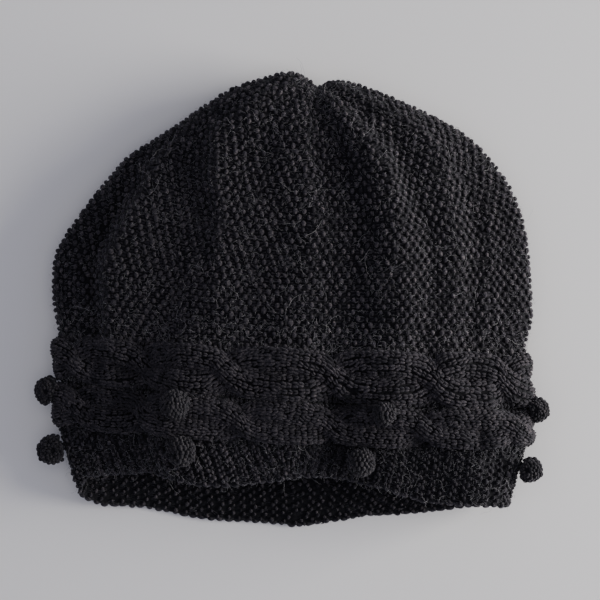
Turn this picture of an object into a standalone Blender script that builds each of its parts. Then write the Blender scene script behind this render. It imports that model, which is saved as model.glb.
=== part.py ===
"""Hand-knitted winter hat with two rope cables and bobbles, lying flat on its back.

The hat lies on the XY plane with its back down. +Y points to the crown's pole, -Y to the
open rim, +X to the right of someone who looks down on it. The origin is on the floor,
under the middle of the hat's box. All sizes are in metres.

One surface carries every piece. A place on it has two coordinates: the turn round the
hat, an angle, and the level, which counts the rows of the table ROWS from rim to pole.
"""

import math
from collections import namedtuple

import bmesh
import bpy
import numpy as np
from mathutils import Vector
from mathutils.bvhtree import BVHTree

# Fabric
WALL = 0.0035
SEAM_GAP = 0.0003

# Rope cables: two strands that change places at each crossing
STRAND_HEIGHT = 0.0042
STRAND_HALF_WIDTH = 0.48
STRAND_CENTRE = 0.50
CROSSING_LIFT = 0.0012
CROSSING_SINK = 0.0020
CROSSING_REACH = 0.26
CROSSING_ARCH = 0.35
CROSSING_SPREAD = 0.25
CROSSINGS = 10

# Bobbles
BOBBLE_SEAT = 0.0005
BOBBLE_LIFT_STEP = 0.0002
BOBBLE_SEARCH = 0.033
BOBBLE_SIDES = 10
BOBBLE_RINGS = 6

# How square the flattened hat's rolled edges are, on top and underneath, and how much more
# so the top is at the rim
TOP_ROLL = 8.0
BACK_ROLL = 6.0
RIM_SHARPNESS = 10.0
# How far the underside would sink if the floor didn't flatten it
FLOOR_PRESS = 0.0006

# Steps in level and in turn over which the surface's directions are measured
TANGENT_STEP = 0.05
NORMAL_STEP = 0.02

# Facets
FRONT_COLUMNS = 54
BACK_COLUMNS = 30
CABLE_STEPS = 8
BRIM_STEPS = 3
CROWN_STEP = 0.5
CROWN_INNER_STEP = 1.0
GATHER_LEVELS = (12.0, 12.6, 13.2, 13.6)
GATHER_INNER_LEVELS = (12.0, 13.0)
SHARP_ANGLE = math.radians(40)

# Loops round the hat, from rim to pole. The left and right columns are the hat's outline
# as it lies, front_y and back_y are the loop's middle on the upper and under side.
Row = namedtuple("Row", "left_x left_y right_x right_y front_y back_y top_z side_z base_z")
ROWS = (
    Row(-0.1187, -0.1069, 0.1205, -0.1097, -0.1003, -0.1251, 0.0350, 0.0150, 0.0000),
    Row(-0.1286, -0.0717, 0.1292, -0.0816, -0.0794, -0.0900, 0.0425, 0.0175, 0.0078),
    Row(-0.1286, -0.0459, 0.1305, -0.0607, -0.0563, -0.0640, 0.0455, 0.0180, 0.0085),
    Row(-0.1291, -0.0206, 0.1290, -0.0300, -0.0272, -0.0330, 0.0465, 0.0180, 0.0050),
    Row(-0.1324, 0.0020, 0.1327, -0.0118, -0.0105, -0.0140, 0.0490, 0.0180, 0.0000),
    Row(-0.1308, 0.0245, 0.1321, 0.0108, 0.0060, 0.0030, 0.0500, 0.0180, 0.0000),
    Row(-0.1176, 0.0460, 0.1299, 0.0339, 0.0225, 0.0200, 0.0500, 0.0180, 0.0000),
    Row(-0.1038, 0.0636, 0.1236, 0.0553, 0.0390, 0.0370, 0.0495, 0.0180, 0.0000),
    Row(-0.0906, 0.0784, 0.1123, 0.0735, 0.0550, 0.0540, 0.0485, 0.0180, 0.0000),
    Row(-0.0703, 0.0916, 0.0969, 0.0894, 0.0710, 0.0700, 0.0465, 0.0185, 0.0000),
    Row(-0.0510, 0.1048, 0.0771, 0.1010, 0.0860, 0.0850, 0.0430, 0.0190, 0.0004),
    Row(-0.0329, 0.1158, 0.0551, 0.1109, 0.0990, 0.0980, 0.0385, 0.0195, 0.0030),
    Row(-0.0098, 0.1235, 0.0348, 0.1186, 0.1095, 0.1090, 0.0320, 0.0200, 0.0085),
    Row(0.0023, 0.1244, 0.0243, 0.1200, 0.1140, 0.1140, 0.0270, 0.0200, 0.0135),
    Row(0.0144, 0.1175, 0.0144, 0.1175, 0.1175, 0.1175, 0.0200, 0.0200, 0.0200),
)
RIM_LEVEL = 0
BRIM_TOP_LEVEL = 1
GROOVE_LEVEL = 2
CROWN_LEVEL = 3
POLE_LEVEL = len(ROWS) - 1

# Where the rim waves up or down from its plain curve: the turn in degrees and the shift in Y
RimWave = namedtuple("RimWave", "turn_deg shift_y")
RIM_WAVES = (
    RimWave(0, -0.0045),
    RimWave(22, -0.0056),
    RimWave(33, -0.0061),
    RimWave(50, -0.0071),
    RimWave(58, -0.0054),
    RimWave(66, -0.0016),
    RimWave(78, 0.0026),
    RimWave(89, 0.0028),
    RimWave(94, 0.0004),
    RimWave(99, -0.0008),
    RimWave(107, -0.0026),
    RimWave(115, -0.0017),
    RimWave(126, 0.0036),
    RimWave(133, 0.0074),
    RimWave(141, 0.0073),
    RimWave(164, 0.0076),
    RimWave(180, -0.0010),
    RimWave(191, -0.0036),
    RimWave(206, -0.0050),
    RimWave(226, -0.0004),
    RimWave(245, -0.0012),
    RimWave(262, 0.0004),
    RimWave(271, -0.0014),
    RimWave(280, 0.0008),
    RimWave(290, 0.0031),
    RimWave(300, 0.0014),
    RimWave(313, 0.0002),
    RimWave(327, -0.0016),
    RimWave(344, -0.0036),
)

# Folds of the upper side. Each is a smooth step in the height, at a place across the hat
# from -1 at the left outline to 1 at the right one, and it rises by a share of the height.
# The four places and rises are those at the levels FOLD_LEVELS.
LEFT_STRIP_HEIGHT = 0.53
FOLD_LEVELS = (1.5, 4.2, 7.2, 9.4)
Fold = namedtuple("Fold", "name width places rises")
FOLDS = (
    Fold("left_valley", 0.025, (-0.88, -0.86, -0.92, -0.985), (-0.02, -0.05, -0.05, 0.00)),
    Fold("left_overlap", 0.024, (-0.82, -0.79, -0.85, -0.955), (0.06, 0.27, 0.26, 0.12)),
    Fold("left_rise", 0.070, (-0.60, -0.42, -0.50, -0.780), (0.35, 0.14, 0.14, 0.22)),
    Fold("middle_rise", 0.050, (-0.12, -0.06, -0.10, -0.280), (0.06, 0.05, 0.05, 0.07)),
    Fold("middle_fall", 0.045, (0.10, 0.11, 0.09, -0.040), (-0.07, -0.05, -0.07, -0.10)),
    Fold("right_rise", 0.060, (0.30, 0.33, 0.30, 0.260), (0.07, 0.10, 0.13, 0.16)),
    Fold("right_ridge", 0.050, (0.47, 0.55, 0.50, 0.500), (-0.08, -0.14, -0.20, -0.19)),
    Fold("outer_ridge", 0.045, (0.71, 0.71, 0.74, 0.860), (-0.13, -0.13, -0.18, -0.16)),
    Fold("right_edge", 0.040, (0.86, 0.84, 0.88, 0.960), (-0.08, -0.08, -0.07, -0.06)),
)

# Lifts of the brim's and the cables' right part, which lies flatter than the crown
LIFT_LEVELS = (0.0, 1.0, 2.0, 3.0)
LIFTS = (
    Fold("inner_lift", 0.100, (0.40, 0.44, 0.50, 0.52), (0.12, 0.11, 0.07, 0.00)),
    Fold("outer_lift", 0.050, (0.71, 0.71, 0.71, 0.71), (0.17, 0.16, 0.10, 0.00)),
    Fold("edge_lift", 0.040, (0.86, 0.86, 0.86, 0.86), (0.05, 0.05, 0.03, 0.00)),
)

# The cables between two levels, with the places in X of the crossings on the upper side
Cable = namedtuple("Cable", "name low_level high_level crossings")
CABLES = (
    Cable(
        "upper_cable",
        GROOVE_LEVEL,
        CROWN_LEVEL,
        (-0.1198, -0.0805, -0.0350, 0.0225, 0.0771, 0.1145),
    ),
    Cable(
        "lower_cable",
        BRIM_TOP_LEVEL,
        GROOVE_LEVEL,
        (-0.1180, -0.0807, -0.0279, 0.0216, 0.0727, 0.1200),
    ),
)
FIRST_CROSSING = -1

# The bobbles, one for each second crossing, on a level's line or a drop below it. Each has
# its middle's height over the fabric and its radius.
Bobble = namedtuple("Bobble", "name level turn_deg drop proud radius")
BOBBLES = (
    Bobble("upper_bobble_1", GROOVE_LEVEL, 118.9, 0.0055, 0.0060, 0.0086),
    Bobble("upper_bobble_2", GROOVE_LEVEL, 67.7, 0.0035, 0.0060, 0.0068),
    Bobble("upper_bobble_3", GROOVE_LEVEL, 7.0, 0.0010, 0.0044, 0.0074),
    Bobble("upper_bobble_4", GROOVE_LEVEL, 272.0, 0.0035, 0.0060, 0.0066),
    Bobble("upper_bobble_5", GROOVE_LEVEL, 180.0, 0.0055, 0.0048, 0.0086),
    Bobble("lower_bobble_1", BRIM_TOP_LEVEL, 117.8, 0.0052, 0.0062, 0.0088),
    Bobble("lower_bobble_2", BRIM_TOP_LEVEL, 72.4, 0.0072, 0.0060, 0.0082),
    Bobble("lower_bobble_3", BRIM_TOP_LEVEL, 9.0, 0.0115, 0.0048, 0.0074),
    Bobble("lower_bobble_4", BRIM_TOP_LEVEL, 273.0, 0.0065, 0.0060, 0.0066),
    Bobble("lower_bobble_5", BRIM_TOP_LEVEL, 179.0, 0.0112, 0.0050, 0.0088),
)

# Finishes
WOOL_BASE = (0.013, 0.011, 0.014, 1.0)
CABLE_BASE = (0.015, 0.013, 0.016, 1.0)
BOBBLE_BASE = (0.011, 0.010, 0.012, 1.0)
WOOL_ROUGHNESS = 0.95


def clear_scene():
    """Remove every object of the open scene."""
    for thing in list(bpy.data.objects):
        bpy.data.objects.remove(thing)


def row_at(level):
    """The loop's sizes at a level, on a smooth curve through the table's rows."""
    level = min(max(level, 0.0), float(POLE_LEVEL))
    index = min(int(level), POLE_LEVEL - 1)
    part = level - index
    table = [ROWS[min(max(index + step, 0), POLE_LEVEL)] for step in (-1, 0, 1, 2)]
    before, start, end, after = (np.array(row) for row in table)
    slope_in = (end - before) / 2
    slope_out = (after - start) / 2
    cube = part**3
    square = part**2
    values = (
        (2 * cube - 3 * square + 1) * start
        + (cube - 2 * square + part) * slope_in
        + (3 * square - 2 * cube) * end
        + (cube - square) * slope_out
    )
    return Row(*values)


def inset_row(level, inset):
    """The loop's sizes one inset inside the fabric's outer face."""
    row = row_at(level)
    if inset == 0.0:
        return row
    low = row_at(level - TANGENT_STEP)
    high = row_at(level + TANGENT_STEP)

    def inward(first, second):
        """The inward shift of a meridian that is given by two of the row's fields."""
        across = getattr(high, first) - getattr(low, first)
        along = getattr(high, second) - getattr(low, second)
        length = math.hypot(across, along)
        return inset * along / length, -inset * across / length

    left = inward("left_x", "left_y")
    right = inward("right_x", "right_y")
    front = inward("front_y", "top_z")
    back = inward("back_y", "base_z")
    return row._replace(
        left_x=row.left_x + left[0],
        left_y=row.left_y + left[1],
        right_x=row.right_x - right[0],
        right_y=row.right_y - right[1],
        front_y=row.front_y + front[0],
        top_z=row.top_z + front[1],
        back_y=row.back_y - back[0],
        base_z=row.base_z - back[1],
    )


def rim_shift(turn):
    """How far the rim waves from its plain curve at a turn."""
    angles = [math.radians(wave.turn_deg) for wave in RIM_WAVES]
    shifts = [wave.shift_y for wave in RIM_WAVES]
    return float(np.interp(turn % math.tau, angles, shifts, period=math.tau))


def fold_height(across, level):
    """Height of the upper side as a share of the loop's top, with its folds."""
    height = LEFT_STRIP_HEIGHT
    for levels, folds in ((FOLD_LEVELS, FOLDS), (LIFT_LEVELS, LIFTS)):
        for fold in folds:
            place = np.interp(level, levels, fold.places)
            rise = np.interp(level, levels, fold.rises)
            height += rise * 0.5 * (1 + math.tanh((across - place) / fold.width))
    top = max(FOLD_LEVELS)
    fade = min(max((level - top) / (POLE_LEVEL - top), 0.0), 1.0)
    return height + (1.0 - height) * fade


def fabric_point(turn, level, inset=0.0):
    """The fabric's face at a turn and a level: the outer one, or one inset inside it."""
    row = inset_row(level, inset)
    across = math.cos(turn)
    front = math.sin(turn) >= 0
    bow = math.sin(turn) ** 2
    middle_x = (row.left_x + row.right_x) / 2
    half_width = (row.right_x - row.left_x) / 2
    middle_y = (row.left_y + row.right_y) / 2
    edge_y = middle_y + across * (row.right_y - row.left_y) / 2
    loop_y = row.front_y if front else row.back_y
    y = edge_y + (loop_y - middle_y) * bow
    y += rim_shift(turn) * max(0.0, 1.0 - level) ** 2
    if front:
        square = TOP_ROLL + RIM_SHARPNESS * max(0.0, 1.0 - level / CROWN_LEVEL)
        roll = math.sqrt(max(0.0, 1.0 - abs(across) ** square))
        top = row.top_z - row_at(level).top_z * (1 - fold_height(across, level))
        z = row.side_z + (top - row.side_z) * roll
    else:
        roll = math.sqrt(max(0.0, 1.0 - abs(across) ** BACK_ROLL))
        z = row.side_z - (row.side_z - row.base_z + FLOOR_PRESS) * roll
    return np.array((middle_x + half_width * across, y, max(z, inset)))


def fabric_normal(turn, level):
    """The fabric's outward direction at a turn and a level."""
    low = max(level - NORMAL_STEP, 0.0)
    high = min(level + NORMAL_STEP, POLE_LEVEL - NORMAL_STEP)
    round_hat = fabric_point(turn + NORMAL_STEP, level) - fabric_point(turn - NORMAL_STEP, level)
    up_hat = fabric_point(turn, high) - fabric_point(turn, low)
    normal = np.cross(up_hat, round_hat)
    return normal / np.linalg.norm(normal)


def offset_point(turn, level, height):
    """A point at a height off the fabric's outer face."""
    return fabric_point(turn, level) + height * fabric_normal(turn, level)


class Loop:
    """Distances along the loop of one level, counted from the front's middle to +X."""

    SAMPLES = 720

    def __init__(self, level):
        turns = math.pi / 2 - np.linspace(0.0, math.tau, self.SAMPLES + 1)
        points = np.array([fabric_point(turn, level) for turn in turns])
        steps = np.linalg.norm(np.diff(points, axis=0), axis=1)
        self.turns = turns
        self.distances = np.concatenate(([0.0], np.cumsum(steps)))
        self.length = self.distances[-1]
        row = row_at(level)
        self.middle_x = (row.left_x + row.right_x) / 2
        self.half_width = (row.right_x - row.left_x) / 2

    def turn(self, distance):
        """The turn at a distance."""
        return float(np.interp(distance % self.length, self.distances, self.turns))

    def distance(self, turn):
        """The distance at a turn."""
        backwards = (math.pi / 2 - turn) % math.tau
        return float(np.interp(backwards, math.pi / 2 - self.turns, self.distances))

    def distance_at_x(self, x):
        """The distance of the upper side's point at X, negative left of the middle."""
        distance = self.distance(math.acos((x - self.middle_x) / self.half_width))
        return distance - self.length if x < self.middle_x else distance


class Rope:
    """One rope cable: its loop, its crossings and its relief."""

    def __init__(self, cable):
        self.cable = cable
        self.middle = (cable.low_level + cable.high_level) / 2
        self.loop = Loop(self.middle)
        places = [self.loop.distance_at_x(x) for x in cable.crossings]
        places.append(places[0] + self.loop.length)
        phases = [FIRST_CROSSING + count for count in range(len(cable.crossings))]
        phases.append(FIRST_CROSSING + CROSSINGS)
        self.places = places
        self.phases = phases

    def phase(self, turn):
        """How many crossings have passed at a turn."""
        start = self.places[0]
        inside = (self.loop.distance(turn) - start) % self.loop.length + start
        return float(np.interp(inside, self.places, self.phases))

    def relief(self, phase, across):
        """Height over the backing. across runs from -1 at the lower edge to 1 at the upper."""
        beside = phase - round(phase)
        turning = math.tanh(2 * beside / CROSSING_REACH)
        swing = (1 - CROSSING_ARCH) * turning + CROSSING_ARCH * math.sin(math.pi * beside)
        crossing = 1 - swing**2
        slope = 2 * STRAND_CENTRE * crossing
        half_width = STRAND_HALF_WIDTH * (1 + CROSSING_SPREAD * slope)
        over = (across + STRAND_CENTRE * swing) / half_width
        under = (across - STRAND_CENTRE * swing) / half_width
        over_height = STRAND_HEIGHT + CROSSING_LIFT * crossing
        under_height = STRAND_HEIGHT - CROSSING_SINK * crossing
        over_height *= math.sqrt(max(0.0, 1 - over**2))
        under_height *= math.sqrt(max(0.0, 1 - under**2))
        return max(over_height, under_height)


def wool(name, colour):
    """A dull wool material."""
    material = bpy.data.materials.new(name)
    material.use_nodes = True
    shader = material.node_tree.nodes["Principled BSDF"]
    shader.inputs["Base Color"].default_value = colour
    shader.inputs["Roughness"].default_value = WOOL_ROUGHNESS
    shader.inputs["Metallic"].default_value = 0.0
    return material


def add_object(name, mesh, material):
    """Add a shaded object that holds the mesh."""
    mesh.materials.append(material)
    mesh.shade_smooth()
    mesh.set_sharp_from_angle(angle=SHARP_ANGLE)
    thing = bpy.data.objects.new(name, mesh)
    bpy.context.scene.collection.objects.link(thing)
    return thing


def add_rings(shape, rings):
    """Add rings of vertices, joined by faces, and return the vertices ring by ring."""
    vertices = [[shape.verts.new(point) for point in points] for points in rings]
    for lower, upper in zip(vertices, vertices[1:]):
        join_rings(shape, lower, upper)
    return vertices


def join_rings(shape, lower, upper):
    """Join two closed rings of vertices by triangles, which mate across a seam."""
    count = len(lower)
    for index in range(count):
        following = (index + 1) % count
        shape.faces.new((lower[index], lower[following], upper[following]))
        shape.faces.new((lower[index], upper[following], upper[index]))


def cap_ring(shape, edge, point):
    """Close a ring of vertices with a fan of faces to a point."""
    tip = shape.verts.new(point)
    for index, vertex in enumerate(edge):
        shape.faces.new((vertex, edge[(index + 1) % len(edge)], tip))


def finish_shell(name, shape, material):
    """Turn a closed bmesh into an object with its faces pointing out."""
    bmesh.ops.recalc_face_normals(shape, faces=shape.faces)
    mesh = bpy.data.meshes.new(name)
    shape.to_mesh(mesh)
    shape.free()
    return add_object(name, mesh, material)


def add_ring_wall(name, outer, inner, material):
    """Add a closed wall between rings of an outer and an inner face, open at both ends."""
    shape = bmesh.new()
    outside = add_rings(shape, outer)
    inside = add_rings(shape, inner)
    join_rings(shape, outside[0], inside[0])
    join_rings(shape, outside[-1], inside[-1])
    return finish_shell(name, shape, material)


def add_dome_wall(name, outer, inner, outer_pole, inner_pole, material):
    """Add a closed wall that is open at its first ring and ends in a pole."""
    shape = bmesh.new()
    outside = add_rings(shape, outer)
    inside = add_rings(shape, inner)
    join_rings(shape, outside[0], inside[0])
    cap_ring(shape, outside[-1], outer_pole)
    cap_ring(shape, inside[-1], inner_pole)
    return finish_shell(name, shape, material)


def ring(turns, level, inset, shift_y=0.0):
    """Points round the hat at a level and an inset, moved along Y by a seam's share."""
    shift = np.array((0.0, shift_y, 0.0))
    return [fabric_point(turn, level, inset) + shift for turn in turns]


def column_turns():
    """Columns of facets: even steps of fabric on the upper side, even turns underneath."""
    loop = Loop(CROWN_LEVEL)
    right = loop.distance(0.0)
    left = loop.distance(math.pi) - loop.length
    spots = np.linspace(right, left, FRONT_COLUMNS + 1)[1:]
    front = [0.0] + [loop.turn(spot) % math.tau for spot in spots]
    back = [math.pi * (1 + step / BACK_COLUMNS) for step in range(1, BACK_COLUMNS)]
    return front + back


def add_crown(turns):
    """The seed-stitch bag over the cables, with its folds and its gathered pole."""
    outer_levels = [*np.arange(CROWN_LEVEL, GATHER_LEVELS[0], CROWN_STEP), *GATHER_LEVELS]
    inner_start = np.arange(CROWN_LEVEL, GATHER_INNER_LEVELS[0], CROWN_INNER_STEP)
    inner_levels = [*inner_start, *GATHER_INNER_LEVELS]
    shift = SEAM_GAP / 2
    outer = [ring(turns, level, 0.0, shift) for level in outer_levels]
    inner = [ring(turns, level, WALL, shift) for level in inner_levels]
    pole = fabric_point(0.0, POLE_LEVEL)
    inner_pole = pole - np.array((0.0, WALL, 0.0))
    return add_dome_wall("crown", outer, inner, pole, inner_pole, wool("crown", WOOL_BASE))


def add_cable(rope, turns):
    """A rope cable as a closed ring, with its strands raised over a backing."""
    cable = rope.cable
    phases = [rope.phase(turn) for turn in turns]
    span = cable.high_level - cable.low_level
    outer = []
    for step in range(CABLE_STEPS + 1):
        across = 2 * step / CABLE_STEPS - 1
        level = cable.low_level + span * step / CABLE_STEPS
        shift = np.array((0.0, -across * SEAM_GAP / 2, 0.0))
        places = zip(turns, phases)
        points = [offset_point(turn, level, rope.relief(phase, across)) for turn, phase in places]
        outer.append([point + shift for point in points])
    levels = (cable.low_level, rope.middle, cable.high_level)
    shifts = (SEAM_GAP / 2, 0.0, -SEAM_GAP / 2)
    inner = [ring(turns, level, WALL, shift) for level, shift in zip(levels, shifts)]
    return add_ring_wall(cable.name, outer, inner, wool(cable.name, CABLE_BASE))


def add_brim(turns):
    """The seed-stitch band at the open rim."""
    levels = np.linspace(RIM_LEVEL, BRIM_TOP_LEVEL, BRIM_STEPS + 1)
    shifts = np.linspace(0.0, -SEAM_GAP / 2, BRIM_STEPS + 1)
    outer = [ring(turns, level, 0.0, shift) for level, shift in zip(levels, shifts)]
    inner = [ring(turns, level, WALL, shift) for level, shift in zip(levels, shifts)]
    return add_ring_wall("brim", outer, inner, wool("brim", WOOL_BASE))


def surface_tree(meshes):
    """One search tree over the faces of several meshes."""
    points = []
    faces = []
    for mesh in meshes:
        start = len(points)
        points.extend(vertex.co.copy() for vertex in mesh.vertices)
        faces.extend([start + index for index in face.vertices] for face in mesh.polygons)
    return BVHTree.FromPolygons(points, faces)


def bobble_mesh(bobble, seat, outward, squash, ground, seat_gap):
    """A squashed ball whose underside follows the ground at a gap."""
    shape = bmesh.new()
    bmesh.ops.create_uvsphere(
        shape, u_segments=BOBBLE_SIDES, v_segments=BOBBLE_RINGS, radius=bobble.radius
    )
    turned = outward.to_track_quat("Z", "Y")
    for vertex in shape.verts:
        vertex.co.z *= squash
        vertex.co = turned @ vertex.co + seat
        start = vertex.co + outward * BOBBLE_SEARCH
        hit = ground.ray_cast(start, -outward, 2 * BOBBLE_SEARCH)[0]
        if hit and (hit - vertex.co).dot(outward) > -seat_gap:
            vertex.co = hit + outward * seat_gap
        vertex.co.z = max(vertex.co.z, 0.0)
    bmesh.ops.triangulate(shape, faces=shape.faces)
    mesh = bpy.data.meshes.new(bobble.name)
    shape.to_mesh(mesh)
    shape.free()
    return mesh


def add_bobble(bobble, ground):
    """A bobble on the groove under a cable, lifted until it clears the fabric."""
    turn = math.radians(bobble.turn_deg)
    outward = Vector(fabric_normal(turn, bobble.level))
    along = fabric_point(turn, bobble.level + TANGENT_STEP) - fabric_point(turn, bobble.level)
    drop = along / np.linalg.norm(along) * bobble.drop
    foot = Vector(fabric_point(turn, bobble.level) - drop)
    height = bobble.proud + bobble.radius
    room = foot.z / -outward.z if outward.z < 0 else height
    squash = min(1.0, room / height)
    seat = foot + outward * bobble.proud * squash
    gap = BOBBLE_SEAT
    mesh = bobble_mesh(bobble, seat, outward, squash, ground, gap)
    while surface_tree([mesh]).overlap(ground):
        bpy.data.meshes.remove(mesh)
        gap += BOBBLE_LIFT_STEP
        mesh = bobble_mesh(bobble, seat, outward, squash, ground, gap)
    return add_object(bobble.name, mesh, wool(bobble.name, BOBBLE_BASE))


def main():
    """Build the hat."""
    clear_scene()
    turns = column_turns()
    walls = [add_crown(turns), add_brim(turns)]
    walls.extend(add_cable(Rope(cable), turns) for cable in CABLES)
    ground = surface_tree([wall.data for wall in walls])
    for bobble in BOBBLES:
        add_bobble(bobble, ground)


main()
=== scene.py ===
"""Looks of a hand-knitted winter hat that lies flat on its back.

The hat is knitted sideways from thick charcoal wool: a seed-stitch crown gathered to a pole,
two rope cables with bobbles, and a seed-stitch brim. Every stitch that shows is a strand of
yarn, placed on one surface that is given by a turn round the hat and a level up it. All
sizes are in metres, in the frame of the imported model.
"""

import logging
import math
from dataclasses import dataclass, field, fields, replace
from enum import Enum
from functools import cache
from typing import ClassVar, NamedTuple

import bpy
import numpy as np
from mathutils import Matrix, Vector, noise
from mathutils.bvhtree import BVHTree
from mathutils.kdtree import KDTree


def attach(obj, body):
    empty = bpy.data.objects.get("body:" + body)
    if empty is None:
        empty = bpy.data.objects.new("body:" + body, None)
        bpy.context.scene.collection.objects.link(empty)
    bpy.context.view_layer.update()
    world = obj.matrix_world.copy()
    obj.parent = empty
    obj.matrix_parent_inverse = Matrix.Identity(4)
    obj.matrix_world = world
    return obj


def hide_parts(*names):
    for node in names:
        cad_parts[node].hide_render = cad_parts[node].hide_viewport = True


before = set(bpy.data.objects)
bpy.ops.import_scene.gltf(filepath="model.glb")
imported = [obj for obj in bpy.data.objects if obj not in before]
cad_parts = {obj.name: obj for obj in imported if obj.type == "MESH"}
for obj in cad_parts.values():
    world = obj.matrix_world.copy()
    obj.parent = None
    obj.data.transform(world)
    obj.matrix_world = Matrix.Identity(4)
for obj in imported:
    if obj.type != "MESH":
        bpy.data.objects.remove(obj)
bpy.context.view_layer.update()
LOG = logging.getLogger("knit_hat")

# The one body that every piece rides on
BODY = "root"

Array = np.ndarray
Colour = tuple[float, float, float, float]
Random = np.random.Generator
Material = bpy.types.Material
Mesh = bpy.types.Mesh
Socket = bpy.types.NodeSocket

# Yarn and stitches. One stitch is 3.3 mm wide and one row 2.5 mm tall, for medium wool.
# The hat is knitted sideways, so rows stand up the hat and stitches lie above each other.
ROW_PITCH = 0.0025
STITCH_PITCH = 0.0033
WALL = 0.0035
CORE_INSET = 0.0015
STITCH_SINK = 0.0006
# Where the brim's backing ends on its inner side, so that the stitches there stand over it
INNER_INSET = 0.0024

# How deep in the wool a loose fibre is rooted
ROOT_DEPTH = -0.0006

# Painted shade and highlight: how light a strand's foot is painted beside its crest, a painted
# shade between the stitches and a painted highlight of fine fibres catching the light on the
# crests, and how light a knit stitch is painted beside the purl bumps that stand over it, a
# painted shade
FOOT_PAINTED_SHADE = 0.25
KNIT_PAINTED_SHADE = 0.55
# The same painted shade and highlight for the feet of a cable's stitches, whose yarn lies closer
CABLE_FOOT_PAINTED_SHADE = 0.5
# How light the wool is on average, from 0 to 1, and how much that differs between stitches
MEAN_TONE = 0.45
TONE_SPREAD = 0.22

# How far stitches that face sideways are drawn in, as wool packs together at the outline
OUTLINE_SINK = 0.0007

# How much darker the wool is painted at the bottom of a dent: a painted shade
DENT_PAINTED_SHADE = 0.65

# How felted wool evens out the painted shade and highlight of a stitch, and how much wider its stitches
# swell
FELTED_PAINTED_SHADE = 0.70
FELT_SWELL = 0.15

# The upper side is where the sine of the turn is above this
UPPER_SIDE = -0.02


class Unevenness(NamedTuple):
    """How far stitches stray, how far they turn and how much their size differs."""

    shift: float
    twist_deg: float
    spread: float


# Hand knitting in soft wool: seed stitch, and the neater cables
UNEVEN = Unevenness(0.00016, 14.0, 0.12)
NEAT = Unevenness(0.00022, 13.0, 0.15)

# Steps in which crowded purl bumps settle apart, in how many parts each step divides the
# distance that is missing, and how far apart the bumps settle, as a share of the distance
# between neighbours in even seed stitch
SETTLING_STEPS = 14
SETTLING_PARTS = 3
SETTLED_SHARE = 0.86
# How far off neighbours are felt, as a share of that, and the largest move in one step, in
# turns and in levels
NEIGHBOUR_REACH = 1.6
LARGEST_MOVE = 0.2

# Gores of the crown, each with rows parallel to its own middle line, and how many rows at
# a gore's edge ease apart or together where it holds no whole number of them
GORES = 10
EASED_ROWS = 4

# How square the flattened hat's rolled edges are, on top and underneath, and how much more
# so the top is at the rim
TOP_ROLL = 8.0
BACK_ROLL = 6.0
RIM_SHARPNESS = 10.0

# How far the underside would sink if the floor didn't flatten it
FLOOR_PRESS = 0.0006

# Steps in level and in turn over which the surface's directions are measured
TANGENT_STEP = 0.05
NORMAL_STEP = 0.02
FINE_STEP = NORMAL_STEP / 4

# Rope cables: two strands that change places at each crossing
STRAND_HEIGHT = 0.0042
STRAND_HALF_WIDTH = 0.48
STRAND_CENTRE = 0.50
CROSSING_LIFT = 0.0012
CROSSING_SINK = 0.0020
CROSSING_REACH = 0.26
CROSSING_SPREAD = 0.25
CROSSING_ARCH = 0.35
CROSSINGS = 10
FIRST_CROSSING = -1


class Row(NamedTuple):
    """One loop round the hat: its ends left and right, its middles and its heights."""

    left_x: float
    left_y: float
    right_x: float
    right_y: float
    front_y: float
    back_y: float
    top_z: float
    side_z: float
    base_z: float


class RimWave(NamedTuple):
    """A place round the rim and how far the rim waves there from its plain curve."""

    turn_deg: float
    shift_y: float


class Fold(NamedTuple):
    """A smooth step in the upper side's height: its places across and its rises, by level."""

    name: str
    width: float
    places: tuple[float, ...]
    rises: tuple[float, ...]


class Crease(NamedTuple):
    """A crease of the upper side: a sharp step whose rise is lost again in gentle slopes."""

    name: str
    width: float
    reach: float
    rise: float
    places: tuple[float, ...]


class Dent(NamedTuple):
    """A shallow dent of the upper side: its middle, its reach each way and its depth."""

    name: str
    x: float
    y: float
    reach_x: float
    reach_y: float
    depth: float


class FeltedSpot(NamedTuple):
    """A round area where handling has felted the wool, so that its stitches blur."""

    x: float
    y: float
    radius: float
    share: float


class CableSpec(NamedTuple):
    """A rope cable between two levels, with the places in X of its crossings on top."""

    node: str
    low_level: float
    high_level: float
    crossings: tuple[float, ...]


class BobbleSpec(NamedTuple):
    """A bobble: the level and the turn that it hangs from, and its radius."""

    node: str
    level: float
    turn_deg: float
    radius: float


# The fields that give each meridian, and the sign of the way in from it
MERIDIANS = (
    ("left_x", "left_y", 1),
    ("right_x", "right_y", -1),
    ("front_y", "top_z", 1),
    ("back_y", "base_z", -1),
)

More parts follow.
